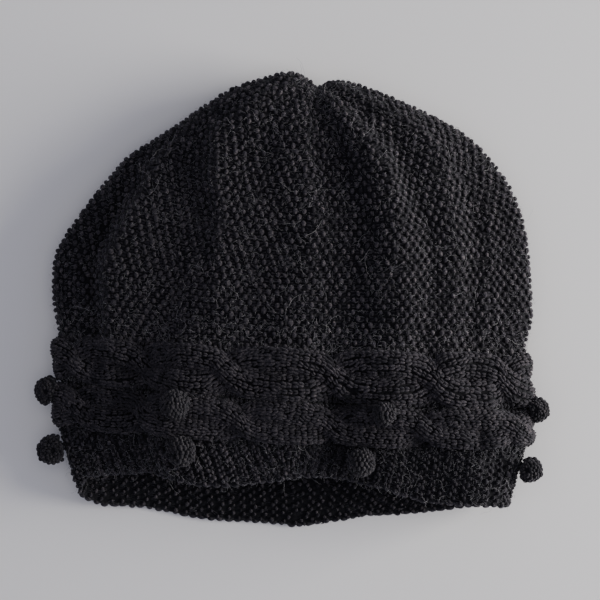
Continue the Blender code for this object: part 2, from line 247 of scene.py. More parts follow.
# Loops round the hat, from rim to pole
ROWS = (
    Row(-0.1187, -0.1069, 0.1205, -0.1097, -0.1003, -0.1251, 0.0350, 0.0150, 0.0000),
    Row(-0.1286, -0.0717, 0.1292, -0.0816, -0.0794, -0.0900, 0.0425, 0.0175, 0.0078),
    Row(-0.1286, -0.0459, 0.1305, -0.0607, -0.0563, -0.0640, 0.0455, 0.0180, 0.0085),
    Row(-0.1291, -0.0206, 0.1290, -0.0300, -0.0272, -0.0330, 0.0465, 0.0180, 0.0050),
    Row(-0.1324, 0.0020, 0.1327, -0.0118, -0.0105, -0.0140, 0.0490, 0.0180, 0.0000),
    Row(-0.1308, 0.0245, 0.1321, 0.0108, 0.0060, 0.0030, 0.0500, 0.0180, 0.0000),
    Row(-0.1176, 0.0460, 0.1299, 0.0339, 0.0225, 0.0200, 0.0500, 0.0180, 0.0000),
    Row(-0.1038, 0.0636, 0.1236, 0.0553, 0.0390, 0.0370, 0.0495, 0.0180, 0.0000),
    Row(-0.0906, 0.0784, 0.1123, 0.0735, 0.0550, 0.0540, 0.0485, 0.0180, 0.0000),
    Row(-0.0703, 0.0916, 0.0969, 0.0894, 0.0710, 0.0700, 0.0465, 0.0185, 0.0000),
    Row(-0.0510, 0.1048, 0.0771, 0.1010, 0.0860, 0.0850, 0.0430, 0.0190, 0.0004),
    Row(-0.0329, 0.1158, 0.0551, 0.1109, 0.0990, 0.0980, 0.0385, 0.0195, 0.0030),
    Row(-0.0098, 0.1235, 0.0348, 0.1186, 0.1095, 0.1090, 0.0320, 0.0200, 0.0085),
    Row(0.0023, 0.1244, 0.0243, 0.1200, 0.1140, 0.1140, 0.0270, 0.0200, 0.0135),
    Row(0.0144, 0.1175, 0.0144, 0.1175, 0.1175, 0.1175, 0.0200, 0.0200, 0.0200),
)
RIM_LEVEL = 0.0
BRIM_TOP_LEVEL = 1.0
GROOVE_LEVEL = 2.0
CROWN_LEVEL = 3.0
POLE_LEVEL = float(len(ROWS) - 1)

# Where the rim waves up or down from its plain curve
RIM_WAVES = (
    RimWave(0, -0.0045),
    RimWave(22, -0.0056),
    RimWave(33, -0.0061),
    RimWave(50, -0.0071),
    RimWave(58, -0.0054),
    RimWave(66, -0.0016),
    RimWave(78, 0.0026),
    RimWave(89, 0.0028),
    RimWave(94, 0.0004),
    RimWave(99, -0.0008),
    RimWave(107, -0.0026),
    RimWave(115, -0.0017),
    RimWave(126, 0.0036),
    RimWave(133, 0.0074),
    RimWave(141, 0.0073),
    RimWave(164, 0.0076),
    RimWave(180, -0.0010),
    RimWave(191, -0.0036),
    RimWave(206, -0.0050),
    RimWave(226, -0.0004),
    RimWave(245, -0.0012),
    RimWave(262, 0.0004),
    RimWave(271, -0.0014),
    RimWave(280, 0.0008),
    RimWave(290, 0.0031),
    RimWave(300, 0.0014),
    RimWave(313, 0.0002),
    RimWave(327, -0.0016),
    RimWave(344, -0.0036),
)

# Folds of the upper side, at places from -1 at the left outline to 1 at the right one
LEFT_STRIP_HEIGHT = 0.53
FOLD_LEVELS = (1.5, 4.2, 7.2, 9.4)
FOLDS = (
    Fold("left_valley", 0.025, (-0.88, -0.86, -0.92, -0.985), (-0.02, -0.05, -0.05, 0.00)),
    Fold("left_overlap", 0.024, (-0.82, -0.79, -0.85, -0.955), (0.06, 0.27, 0.26, 0.12)),
    Fold("left_rise", 0.070, (-0.60, -0.42, -0.50, -0.780), (0.35, 0.14, 0.14, 0.22)),
    Fold("middle_rise", 0.050, (-0.12, -0.06, -0.10, -0.280), (0.06, 0.05, 0.05, 0.07)),
    Fold("middle_fall", 0.045, (0.10, 0.11, 0.09, -0.040), (-0.07, -0.05, -0.07, -0.10)),
    Fold("right_rise", 0.060, (0.30, 0.33, 0.30, 0.260), (0.07, 0.10, 0.13, 0.16)),
    Fold("right_ridge", 0.050, (0.47, 0.55, 0.50, 0.500), (-0.08, -0.14, -0.20, -0.19)),
    Fold("outer_ridge", 0.045, (0.71, 0.71, 0.74, 0.860), (-0.13, -0.13, -0.18, -0.16)),
    Fold("right_edge", 0.040, (0.86, 0.84, 0.88, 0.960), (-0.08, -0.08, -0.07, -0.06)),
)

# Lifts of the brim's and the cables' right part, which lies flatter than the crown
LIFT_LEVELS = (0.0, 1.0, 2.0, 3.0)
LIFTS = (
    Fold("inner_lift", 0.100, (0.40, 0.44, 0.50, 0.52), (0.12, 0.11, 0.07, 0.00)),
    Fold("outer_lift", 0.050, (0.71, 0.71, 0.71, 0.71), (0.17, 0.16, 0.10, 0.00)),
    Fold("edge_lift", 0.040, (0.86, 0.86, 0.86, 0.86), (0.05, 0.05, 0.03, 0.00)),
)

# Creases of the crown, which are too fine for the frame's solids: how much of each there is
# at these levels, and its places across, from the cables up
CREASE_LEVELS = (3.0, 3.6, 5.2, 6.4, 7.6, 9.0, 10.2)
CREASE_SHARES = (0.0, 0.5, 0.6, 0.9, 1.0, 1.2, 0.8)
CREASES = (
    Crease("left_overlap", 0.012, 0.06, 0.06, (-0.80, -0.785, -0.79, -0.865, -0.915, -0.985, -0.999)),
    Crease("left_panel", 0.020, 0.14, 0.08, (-0.33, -0.325, -0.345, -0.419, -0.50, -0.675, -0.940)),
    Crease("middle", 0.020, 0.10, 0.03, (0.055, 0.055, 0.03, 0.0, -0.015, -0.08, -0.17)),
    Crease("right_ridge", 0.030, 0.12, -0.05, (0.52, 0.51, 0.47, 0.43, 0.44, 0.51, 0.66)),
    Crease("outer", 0.015, 0.08, 0.04, (0.76, 0.768, 0.79, 0.82, 0.89, 0.97, 0.999)),
)

# Where handling has felted the upper side
FELTED = (
    FeltedSpot(-0.070, 0.004, 0.040, 0.72),
    FeltedSpot(-0.067, 0.045, 0.030, 0.60),
    FeltedSpot(-0.029, 0.034, 0.026, 0.65),
    FeltedSpot(-0.025, 0.000, 0.028, 0.72),
    FeltedSpot(-0.024, -0.042, 0.030, 0.55),
)

# Where a bobble's neck or a crossing draws the upper side in
DENTS = (
    Dent("by_upper_bobble_2", 0.0299, -0.0581, 0.0080, 0.0062, 0.0048),
    Dent("by_upper_bobble_3", 0.1210, -0.0600, 0.0070, 0.0064, 0.0050),
    Dent("by_lower_bobble_3", 0.1130, -0.0908, 0.0070, 0.0058, 0.0040),
    Dent("by_lower_bobble_2", 0.0224, -0.0825, 0.0070, 0.0070, 0.0042),
    Dent("upper_left_loop", -0.0858, -0.0397, 0.0160, 0.0050, 0.0032),
    Dent("lower_left_loop", -0.0886, -0.0570, 0.0150, 0.0060, 0.0032),
    Dent("lower_right_loop", 0.0667, -0.0781, 0.0080, 0.0050, 0.0034),
    Dent("lower_right_corner", 0.1020, -0.0770, 0.0050, 0.0050, 0.0034),
)

CABLES = (
    CableSpec("upper_cable", GROOVE_LEVEL, CROWN_LEVEL, (-0.1198, -0.0805, -0.035, 0.0225, 0.0771, 0.1145)),
    CableSpec("lower_cable", BRIM_TOP_LEVEL, GROOVE_LEVEL, (-0.118, -0.0807, -0.0279, 0.0216, 0.0727, 0.12)),
)

BOBBLES = (
    BobbleSpec("upper_bobble_1", GROOVE_LEVEL, 118.9, 0.0086),
    BobbleSpec("upper_bobble_2", GROOVE_LEVEL, 67.7, 0.0068),
    BobbleSpec("upper_bobble_3", GROOVE_LEVEL, 7.0, 0.0074),
    BobbleSpec("upper_bobble_4", GROOVE_LEVEL, 272.0, 0.0066),
    BobbleSpec("upper_bobble_5", GROOVE_LEVEL, 180.0, 0.0086),
    BobbleSpec("lower_bobble_1", BRIM_TOP_LEVEL, 117.8, 0.0088),
    BobbleSpec("lower_bobble_2", BRIM_TOP_LEVEL, 72.4, 0.0082),
    BobbleSpec("lower_bobble_3", BRIM_TOP_LEVEL, 9.0, 0.0074),
    BobbleSpec("lower_bobble_4", BRIM_TOP_LEVEL, 273.0, 0.0066),
    BobbleSpec("lower_bobble_5", BRIM_TOP_LEVEL, 179.0, 0.0088),
)


class Slot(Enum):
    """The record's material slots."""

    SEED = "seed_stitch_wool"
    CABLE = "cable_wool"
    BOBBLE = "bobble_wool"


class Side(Enum):
    """The hat's upper side, seen in the photo, and the side that it lies on."""

    UPPER = "upper"
    UNDER = "under"


def unit(vectors: Array) -> Array:
    """Vectors scaled to length one."""
    return vectors / np.maximum(np.linalg.norm(vectors, axis=-1, keepdims=True), 1e-12)


def summed(steps: Array) -> Array:
    """Where a row of steps leads, from 0 on."""
    return np.concatenate(([0.0], np.cumsum(steps)))


def run(points: Array) -> Array:
    """How far along a line of points each of them lies."""
    return summed(np.linalg.norm(np.diff(points, axis=0), axis=1))


def linear(hex_colour: str) -> Colour:
    """An sRGB hex colour as Blender's linear colour.

    Args:
        hex_colour: Six hex digits, such as "1e1c20".

    Returns:
        Red, green, blue and alpha.
    """
    parts = [int(hex_colour[start : start + 2], 16) / 255 for start in (0, 2, 4)]
    red, green, blue = (
        part / 12.92 if part <= 0.04045 else ((part + 0.055) / 1.055) ** 2.4 for part in parts
    )
    return red, green, blue, 1.0


@dataclass(frozen=True)
class Fabric:
    """The surface of the hat, which carries every piece."""

    rows: tuple[Row, ...] = ROWS
    waves: tuple[RimWave, ...] = RIM_WAVES
    folds: tuple[Fold, ...] = FOLDS
    lifts: tuple[Fold, ...] = LIFTS
    creases: tuple[Crease, ...] = CREASES
    dents: tuple[Dent, ...] = DENTS

    def row(self, levels: Array) -> Row:
        """The loops' sizes at some levels, on a smooth curve through the table's rows.

        Args:
            levels: The levels.

        Returns:
            A row whose every field is an array with one value for each level.
        """
        table = np.array(self.rows)
        top = len(table) - 1
        levels = np.clip(np.asarray(levels, float), 0.0, top)
        index = np.minimum(levels.astype(int), top - 1)
        part = (levels - index)[..., None]
        before = table[np.maximum(index - 1, 0)]
        start = table[index]
        end = table[index + 1]
        after = table[np.minimum(index + 2, top)]
        cube = part**3
        square = part**2
        values = (
            (2 * cube - 3 * square + 1) * start
            + (cube - 2 * square + part) * (end - before) / 2
            + (3 * square - 2 * cube) * end
            + (cube - square) * (after - start) / 2
        )
        return Row(*np.moveaxis(values, -1, 0))

    def inset_row(self, levels: Array, inset: float) -> Row:
        """The loops' sizes one inset inside the fabric's outer face.

        Args:
            levels: The levels.
            inset: How far inside, in metres.

        Returns:
            A row of arrays.
        """
        row = self.row(levels)
        if inset == 0.0:
            return row
        low = self.row(np.asarray(levels) - TANGENT_STEP)
        high = self.row(np.asarray(levels) + TANGENT_STEP)
        moved = {}
        for first, second, sign in MERIDIANS:
            across = getattr(high, first) - getattr(low, first)
            along = getattr(high, second) - getattr(low, second)
            length = np.hypot(across, along)
            moved[first] = getattr(row, first) + sign * (inset * along / length)
            moved[second] = getattr(row, second) + sign * (-inset * across / length)
        return row._replace(**moved)

    def rim_shift(self, turn: Array) -> Array:
        """How far the rim waves from its plain curve at some turns."""
        angles = np.radians([wave.turn_deg for wave in self.waves])
        shifts = [wave.shift_y for wave in self.waves]
        return np.interp(np.mod(turn, math.tau), angles, shifts, period=math.tau)

    def fold_height(self, across: Array, levels: Array) -> Array:
        """Height of the upper side, with its folds.

        Args:
            across: Places from -1 at the left outline to 1 at the right one.
            levels: Levels, one for each place.

        Returns:
            The heights, as shares of the loop's top.
        """
        height = np.full(np.shape(across), LEFT_STRIP_HEIGHT)
        for table, folds in ((FOLD_LEVELS, self.folds), (LIFT_LEVELS, self.lifts)):
            for fold in folds:
                place = np.interp(levels, table, fold.places)
                rise = np.interp(levels, table, fold.rises)
                height = height + rise * 0.5 * (1 + np.tanh((across - place) / fold.width))
        share = np.interp(levels, CREASE_LEVELS, CREASE_SHARES)
        for crease in self.creases:
            away = across - np.interp(levels, CREASE_LEVELS, crease.places)
            step = np.tanh(away / crease.width) - np.tanh(away / crease.reach)
            height = height + share * crease.rise * 0.5 * step
        top = max(FOLD_LEVELS)
        fade = np.clip((np.asarray(levels) - top) / (POLE_LEVEL - top), 0.0, 1.0)
        return height + (1.0 - height) * fade

    def point(self, turn: Array, levels: Array, inset: float = 0.0) -> Array:
        """Points of the fabric's outer face, or of a face one inset inside it.

        Args:
            turn: Angles round the hat, from +X over the upper side.
            levels: Levels, one for each turn.
            inset: How far inside the outer face, in metres.

        Returns:
            Points, one for each turn.
        """
        turn, levels = np.broadcast_arrays(np.asarray(turn, float), np.asarray(levels, float))
        row = self.inset_row(levels, inset)
        plain_top = self.row(levels).top_z
        across = np.cos(turn)
        front = np.sin(turn) >= 0
        bow = np.sin(turn) ** 2
        middle_x = (row.left_x + row.right_x) / 2
        half_width = (row.right_x - row.left_x) / 2
        middle_y = (row.left_y + row.right_y) / 2
        edge_y = middle_y + across * (row.right_y - row.left_y) / 2
        y = edge_y + (np.where(front, row.front_y, row.back_y) - middle_y) * bow
        y = y + self.rim_shift(turn) * np.maximum(0.0, 1.0 - levels) ** 2
        square = TOP_ROLL + RIM_SHARPNESS * np.maximum(0.0, 1.0 - levels / CROWN_LEVEL)
        top_roll = np.sqrt(np.maximum(0.0, 1.0 - np.abs(across) ** square))
        back_roll = np.sqrt(np.maximum(0.0, 1.0 - np.abs(across) ** BACK_ROLL))
        top = row.top_z - plain_top * (1 - self.fold_height(across, levels))
        x = middle_x + half_width * across
        for dent in self.dents:
            top = top - dent.depth * dent_share(x, y, dent)
        upper_z = row.side_z + (top - row.side_z) * top_roll
        under_z = row.side_z - (row.side_z - row.base_z + FLOOR_PRESS) * back_roll
        z = np.maximum(np.where(front, upper_z, under_z), inset)
        return np.stack((x, y, z), axis=-1)

    def changes(
        self, turn: Array, levels: Array, step: float, inset: float = 0.0
    ) -> tuple[Array, Array]:
        """How points of the fabric change round the hat and up it.

        Args:
            turn: Their turns.
            levels: Their levels.
            step: The step that each is moved either way, in turns and in levels.
            inset: How far inside the outer face they lie.

        Returns:
            The changes over two steps towards greater turns, and over as many up the hat.
        """
        levels = np.asarray(levels, float)
        low = np.maximum(levels - step, 0.0)
        high = np.minimum(levels + step, POLE_LEVEL - step)
        round_hat = self.point(turn + step, levels, inset) - self.point(turn - step, levels, inset)
        return round_hat, self.point(turn, high, inset) - self.point(turn, low, inset)

    def normal(self, turn: Array, levels: Array) -> Array:
        """The fabric's outward directions at some turns and levels."""
        round_hat, up_hat = self.changes(turn, levels, NORMAL_STEP)
        return unit(np.cross(up_hat, round_hat))

    def lifted(self, turn: Array, levels: Array, height: Array) -> Array:
        """Points at some heights off the fabric's outer face."""
        height = np.asarray(height, float)
        return self.point(turn, levels) + height[..., None] * self.normal(turn, levels)


FABRIC = Fabric()


class Loop:
    """Distances along the loop of one level, counted from the front's middle to +X."""

    SAMPLES = 720

    def __init__(self, level: float, inset: float = 0.0) -> None:
        """Measure the loop.

        Args:
            level: The loop's level.
            inset: How far inside the outer face it runs.
        """
        self.turns = math.pi / 2 - np.linspace(0.0, math.tau, self.SAMPLES + 1)
        levels = np.full(self.SAMPLES + 1, level)
        self.distances = run(FABRIC.point(self.turns, levels, inset))
        self.length = float(self.distances[-1])
        row = FABRIC.row(np.array(level))
        self.middle_x = float(row.left_x + row.right_x) / 2
        self.half_width = float(row.right_x - row.left_x) / 2

    def turn(self, distance: Array) -> Array:
        """The turns at some distances."""
        return np.interp(np.mod(distance, self.length), self.distances, self.turns)

    def distance(self, turn: Array) -> Array:
        """The distances at some turns."""
        backwards = np.mod(math.pi / 2 - np.asarray(turn), math.tau)
        return np.interp(backwards, math.pi / 2 - self.turns, self.distances)

    def distance_at_x(self, x: float) -> float:
        """The distance of the upper side's point at X, negative left of the middle."""
        distance = float(self.distance(math.acos((x - self.middle_x) / self.half_width)))
        return distance - self.length if x < self.middle_x else distance


@dataclass(frozen=True)
class Strand:
    """One short length of yarn, modelled once and copied to every stitch.

    Its points are in three directions of the stitch: right, up and out of the fabric.
    """

    points: Array
    faces: Array
    corner_uv: Array

    @classmethod
    def along(cls, path: Array, radius: Array, sides: int) -> "Strand":
        """A closed length of yarn along a path, pointed at both ends.

        Args:
            path: The middle line's points, from tip to tip.
            radius: The yarn's radius at each point between the tips.
            sides: How many sides its section has.

        Returns:
            The strand.
        """
        path = np.asarray(path, float)
        tangent = unit(np.gradient(path, axis=0))[1:-1]
        side = unit(np.cross((0.0, 0.0, 1.0), tangent))
        lift = np.cross(tangent, side)
        angles = (math.tau * np.arange(sides) / sides)[None, :, None]
        spokes = np.cos(angles) * side[:, None] + np.sin(angles) * lift[:, None]
        rings = path[1:-1, None] + np.asarray(radius, float)[:, None, None] * spokes
        points = np.concatenate((rings.reshape(-1, 3), path[:1], path[-1:]))
        lengths = run(path)
        last = len(path) - 3
        start_tip = (last + 1) * sides
        faces = []
        corners = []
        for index in range(sides):
            following = (index + 1) % sides
            left, right = index / sides, (index + 1) / sides
            for ring in range(last):
                low, high = lengths[ring + 1], lengths[ring + 2]
                a, b = ring * sides + index, ring * sides + following
                faces += [(a, b, b + sides), (a, b + sides, a + sides)]
                corners += [
                    ((left, low), (right, low), (right, high)),
                    ((left, low), (right, high), (left, high)),
                ]
            top = last * sides
            faces += [(start_tip, following, index), (top + index, top + following, start_tip + 1)]
            corners += [
                ((left, lengths[0]), (right, lengths[1]), (left, lengths[1])),
                ((left, lengths[-2]), (right, lengths[-2]), (left, lengths[-1])),
            ]
        return cls(points, np.array(faces), np.array(corners))

    def heights(self) -> Array:
        """How high each point is in the strand, from 0 at the foot to 1 at the crest."""
        out = self.points[:, 2]
        return (out - out.min()) / (out.max() - out.min())

    def mirrored(self) -> "Strand":
        """The same strand on the other side of the stitch's up direction."""
        points = self.points * (1.0, -1.0, 1.0)
        return Strand(points, self.faces[:, ::-1], self.corner_uv[:, ::-1])


@dataclass
class Stitches:
    """Places for copies of a strand: where each is, which way it lies and how large it is."""

    origin: Array
    right: Array
    up: Array
    out: Array
    width: Array
    height: Array

    def __len__(self) -> int:
        """How many places there are."""
        return len(self.origin)

    def packed(self) -> "Stitches":
        """The same places, drawn in where they face sideways."""
        sideways = (1 - np.abs(self.out[:, 2:])) ** 2
        return replace(self, origin=self.origin - OUTLINE_SINK * sideways * self.out)

    def only(self, keep: Array) -> "Stitches":
        """The places that a mask keeps."""
        return Stitches(*(getattr(self, part.name)[keep] for part in fields(self)))

    def loosened(
        self, rng: Random, shift: float, twist_deg: float, spread: float
    ) -> "Stitches":
        """The same places, as uneven as hand knitting is.

        Args:
            rng: A seeded source of random numbers.
            shift: How far a stitch may stray in each direction, in metres.
            twist_deg: How far it may turn in the fabric, in degrees.
            spread: How much its size may differ, as a share.

        Returns:
            New places.
        """
        count = len(self)
        stray = rng.normal(0.0, shift, (count, 3))
        twist = np.radians(rng.normal(0.0, twist_deg, count))[:, None]
        size = 1 + rng.normal(0.0, spread, count)
        right = np.cos(twist) * self.right + np.sin(twist) * self.up
        up = np.cos(twist) * self.up - np.sin(twist) * self.right
        origin = (
            self.origin
            + stray[:, :1] * self.right
            + stray[:, 1:2] * self.up
            + stray[:, 2:] * self.out
        )
        return Stitches(origin, right, up, self.out, self.width * size, self.height * size)

    @classmethod
    def even(cls, origin: Array, right: Array, up: Array) -> "Stitches":
        """Places at the standard size, which face square to right and up.

        Args:
            origin: Where each is.
            right: Each one's right direction.
            up: Each one's rough up direction, which is turned square to right.

        Returns:
            The places.
        """
        up = unit(up - (up * right).sum(1, keepdims=True) * right)
        size = np.ones(len(origin))
        return cls(origin, right, up, np.cross(right, up), size, size.copy())


def dent_share(x: Array, y: Array, dent: Dent) -> Array:
    """How much of a dent's depth there is at some places."""
    return np.exp(-(((x - dent.x) / dent.reach_x) ** 2) - ((y - dent.y) / dent.reach_y) ** 2)


def shaded(points: Array) -> Array:
    """The painted shade at some points, where the fabric is dented: how much darker the wool is painted
    there.
    """
    share = sum(dent_share(points[:, 0], points[:, 1], dent) for dent in DENTS)
    return 1 - DENT_PAINTED_SHADE * np.minimum(1.0, share)


def felted(points: Array) -> Array:
    """How felted the wool is at some points.

    Args:
        points: The points.

    Returns:
        A share for each, from 0 to 1.
    """
    share = np.zeros(len(points))
    for spot in FELTED:
        away = np.hypot(points[:, 0] - spot.x, points[:, 1] - spot.y) / spot.radius
        share = np.maximum(share, spot.share * np.exp(-(away**2)))
    return share


class Look:
    """A material in the making: its shader, and the nodes that feed it."""

    def __init__(self, name: str, values: dict[str, float | Colour]) -> None:
        """Start a material.

        Args:
            name: The material's name.
            values: The values of the shader's own sockets.
        """
        self.material = bpy.data.materials.new(name)
        self.material.use_nodes = True
        self.tree = self.material.node_tree
        self.shader = self.tree.nodes["Principled BSDF"]
        for socket, value in values.items():
            self.shader.inputs[socket].default_value = value

    def add(self, kind: str, values: dict[str | int, object]) -> bpy.types.NodeOutputs:
        """Add a node.

        Args:
            kind: The node's type, without what all shader nodes' types start with.
            values: Its properties, and its sockets' values or the outputs that feed them.

        Returns:
            The node's outputs.
        """
        node = self.tree.nodes.new(f"ShaderNode{kind}")
        for name, value in values.items():
            if isinstance(value, Socket):
                self.tree.links.new(value, node.inputs[name])
            elif isinstance(name, str) and hasattr(node, name):
                setattr(node, name, value)
            else:
                node.inputs[name].default_value = value
        return node.outputs

    def stored(self, name: str, kind: str = "Fac") -> Socket:
        """What the mesh stores at its points under a name."""
        return self.add("Attribute", {"attribute_name": name})[kind]

    def blend(self, share: Socket, first: Colour | Socket, second: Colour) -> Socket:
        """A colour between two, nearer the second as the share grows."""
        return self.add("Mix", {"data_type": "RGBA", 0: share, 6: first, 7: second})[2]

    def noise(self, place: Socket, pitch: float, detail: float, roughness: float = 0.5) -> Socket:
        """Noise with one lump to each pitch."""
        values = {"Scale": 1 / pitch, "Detail": detail, "Roughness": roughness, "Vector": place}
        return self.add("TexNoise", values)["Fac"]

    def bump(self, depth: float, strength: float, height: Socket, **more: object) -> Socket:
        """The surface's direction, bent by a relief of some depth."""
        values = {"Distance": depth, "Strength": strength, "Height": height, **more}
        return self.add("Bump", values)["Normal"]

    def finish(self, links: dict[str, Socket]) -> Material:
        """Feed the shader's sockets and give the material."""
        for name, source in links.items():
            self.tree.links.new(source, self.shader.inputs[name])
        return self.material


@dataclass(frozen=True)
class WoolFinish:
    """Worsted-spun wool, dyed charcoal: dull plied yarn with a soft halo of fine fibres."""

    name: str
    dark: str
    light: str
    heather_and_glint: str
    roughness: float = 0.88
    specular: float = 0.2
    sheen: float = 0.27
    sheen_roughness: float = 0.45
    sheen_tint: str = "8d8a90"
    fleck_pitch: float = 0.00075
    # How much the pale flecks show for the wool's tone: heather fibres, and a painted highlight of
    # fibres that catch the light, strongest where the tone is lightest, on the painted crests
    fleck_gain: float = 2.6
    # How much the halo of fibres evens out the shading of a stitch, towards the fabric's
    halo: float = 0.45
    # A ply turns once round the yarn in 4 mm, and its fibres are drawn 0.35 mm apart, which
    # is coarser than real ones so that they show
    ply_length: float = 0.0040
    plies: float = 3.0
    ply_depth: float = 0.00016
    fibre_pitch: float = 0.00035
    fibre_depth: float = 0.00010

    def material(self) -> Material:
        """Make the material."""
        shader_values = {
            "Roughness": self.roughness,
            "Specular IOR Level": self.specular,
            "Sheen Weight": self.sheen,
            "Sheen Roughness": self.sheen_roughness,
            "Sheen Tint": linear(self.sheen_tint),
        }
        look = Look(self.name, shader_values)
        place = look.add("TexCoord", {})
        # The tone carries the wool's own tone with the painted shade and highlight worked in
        tone = look.stored("tone")
        base = look.blend(tone, linear(self.dark), linear(self.light))
        flecks = look.noise(place["Object"], self.fleck_pitch, 2.0, 0.65)
        limits = {"From Min": 0.50, "From Max": 0.72, "To Min": 0.0, "To Max": 0.85}
        share = look.add("MapRange", {**limits, "Value": flecks})["Result"]
        # Pale flecks: heather fibres and a painted highlight of fibres catching the light, following the
        # tone
        lit = look.add("Math", {"operation": "MULTIPLY", 0: tone, 1: self.fleck_gain})[0]
        shown = look.add("Math", {"operation": "MULTIPLY", "use_clamp": True, 0: share, 1: lit})[0]
        turns = (math.tau * self.plies, math.tau / self.ply_length, 0.0)
        spiral = look.add("VectorMath", {"operation": "DOT_PRODUCT", 0: place["UV"], 1: turns})
        wave = look.add("Math", {"operation": "SINE", 0: spiral["Value"]})[0]
        plied = look.bump(self.ply_depth, 1.0, wave)
        fibres = look.noise(place["Object"], self.fibre_pitch, 2.0)
        fuzzy = look.bump(self.fibre_depth, 0.8, fibres, Normal=plied)
        fabric = look.stored("out", "Vector")
        halo = look.add("Math", {"operation": "MAXIMUM", 0: look.stored("felt"), 1: self.halo})[0]
        evened = look.add("Mix", {"data_type": "VECTOR", 0: halo, 4: fuzzy, 5: fabric})[1]
        direction = look.add("VectorMath", {"operation": "NORMALIZE", 0: evened})["Vector"]
        colour = look.blend(shown, base, linear(self.heather_and_glint))
        return look.finish({"Base Color": colour, "Normal": direction})


@dataclass(frozen=True)
class BackingFinish:
    """The same wool deep in the fabric, painted darker than the yarn: a painted shade for the rows of yarn
    that lie side by side in shadow.
    """

    name: str
    colour: str
    lighter: str
    bump_depth: float = 0.0008
    grain_pitch: float = 0.0028
    fibre_pitch: float = 0.0005
    fibre_depth: float = 0.0002

    def material(self) -> Material:
        """Make the material."""
        values = {"Roughness": 0.95, "Specular IOR Level": 0.1, "Sheen Weight": 0.15}
        look = Look(self.name, values)
        place = look.add("TexCoord", {})["Object"]
        cells = {"Scale": 1 / self.grain_pitch, "Randomness": 0.55, "Vector": place}
        grains = look.add("TexVoronoi", cells)["Distance"]
        base = look.blend(grains, linear(self.lighter), linear(self.colour))
        low = look.bump(self.bump_depth, 1.0, grains, invert=True)
        fibres = look.noise(place, self.fibre_pitch, 3.0)
        fine = look.bump(self.fibre_depth, 0.6, fibres, Normal=low)
        return look.finish({"Base Color": base, "Normal": fine})


@dataclass(frozen=True)
class FibreFinish:
    """Loose wool fibres that stand off the yarn and catch the light."""

    name: str
    dark: str
    light: str

    def material(self) -> Material:
        """Make the material."""
        look = Look(self.name, {"Roughness": 0.6, "Sheen Weight": 0.3})
        base = look.blend(look.stored("tone"), linear(self.dark), linear(self.light))
        return look.finish({"Base Color": base})


Finish = WoolFinish | BackingFinish | FibreFinish

CHARCOAL_YARN = WoolFinish("charcoal_worsted_yarn", "131114", "2e2b30", "534c4a")
CABLE_YARN = WoolFinish("charcoal_cable_yarn", "121013", "2e2b2f", "504948", halo=0.35)
BOBBLE_YARN = WoolFinish("charcoal_bobble_yarn", "0c0b0d", "29262a", "504947", halo=0.15)
# Painted shade: the backing's colours are darker than the yarn's, for the shadow between the stitches, and
# the bobbles' cores take them too
BACKING = BackingFinish("charcoal_wool_backing", "070608", "0f0e10")
STRAY_FIBRE = FibreFinish("stray_wool_fibre", "3a373b", "a8a39f")

# The yarn that each slot's stitches are knitted in
YARNS = {Slot.SEED: CHARCOAL_YARN, Slot.CABLE: CABLE_YARN, Slot.BOBBLE: BOBBLE_YARN}


@cache
def made(finish: Finish) -> Material:
    """A finish's material, which is made once."""
    return finish.material()


@dataclass
class Piece:
    """A mesh in the making: many copies of strands, joined."""

    name: str
    # How light each strand's foot is painted beside its crest: painted shade and highlight
    foot_painted_shade: float = FOOT_PAINTED_SHADE
    count: int = 0
    parts: list[tuple[Array, ...]] = field(default_factory=list)

    def add(self, strand: Strand, places: Stitches, tones: Array) -> None:
        """Add a copy of a strand at each place.

        Args:
            strand: The strand.
            places: The places.
            tones: How light the wool is there, from 0 to 1, one for each place, with any painted light or
                shade worked in.
        """
        local = strand.points
        felt = felted(places.origin)
        swell = 1 + FELT_SWELL * felt
        scaled_x = local[None, :, 0] * (places.width * swell)[:, None]
        scaled_y = local[None, :, 1] * (places.height * swell)[:, None]
        points = (
            places.origin[:, None]
            + scaled_x[..., None] * places.right[:, None]
            + scaled_y[..., None] * places.up[:, None]
            + local[None, :, 2, None] * places.out[:, None]
        )
        points[..., 2] = np.maximum(points[..., 2], 0.0)
        starts = self.count + len(local) * np.arange(len(places))
        # Painted shade at each strand's foot and painted highlight at its crest, by height in the strand,
        # evened where the wool is felted
        shade = (self.foot_painted_shade + (1 - self.foot_painted_shade) * strand.heights())[None]
        shade = shade + (FELTED_PAINTED_SHADE - shade) * felt[:, None]
        # Felted wool evens the tones, and the dents darken them with a painted shade
        even = (tones + (MEAN_TONE - tones) * felt) * shaded(places.origin)
        part = (
            points.reshape(-1, 3),
            (strand.faces[None] + starts[:, None, None]).reshape(-1, 3),
            np.tile(strand.corner_uv, (len(places), 1, 1)),
            (even[:, None] * shade).ravel(),
            np.repeat(places.out, len(local), axis=0),
            np.repeat(felt, len(local)),
        )
        self.parts.append(part)
        self.count += len(part[0])

    def finish(self, slot: Slot, finish: Finish | None = None) -> None:
        """Make the mesh and put it on the hat.

        Args:
            slot: The record's slot that it takes its finish from.
            finish: What it is made of, if not the slot's yarn.
        """
        points, faces, corner_uv, *stored = map(np.concatenate, zip(*self.parts))
        mesh = new_mesh(self.name, points, faces, corner_uv)
        # The stored tone is the wool's own tone with the painted shade and highlight worked in
        for name, values in zip(("tone", "out", "felt"), stored):
            kind, part = ("FLOAT_VECTOR", "vector") if values.ndim == 2 else ("FLOAT", "value")
            attribute = mesh.attributes.new(name, kind, "POINT")
            attribute.data.foreach_set(part, values.astype(np.float32).ravel())
        dress(mesh, finish or YARNS[slot])


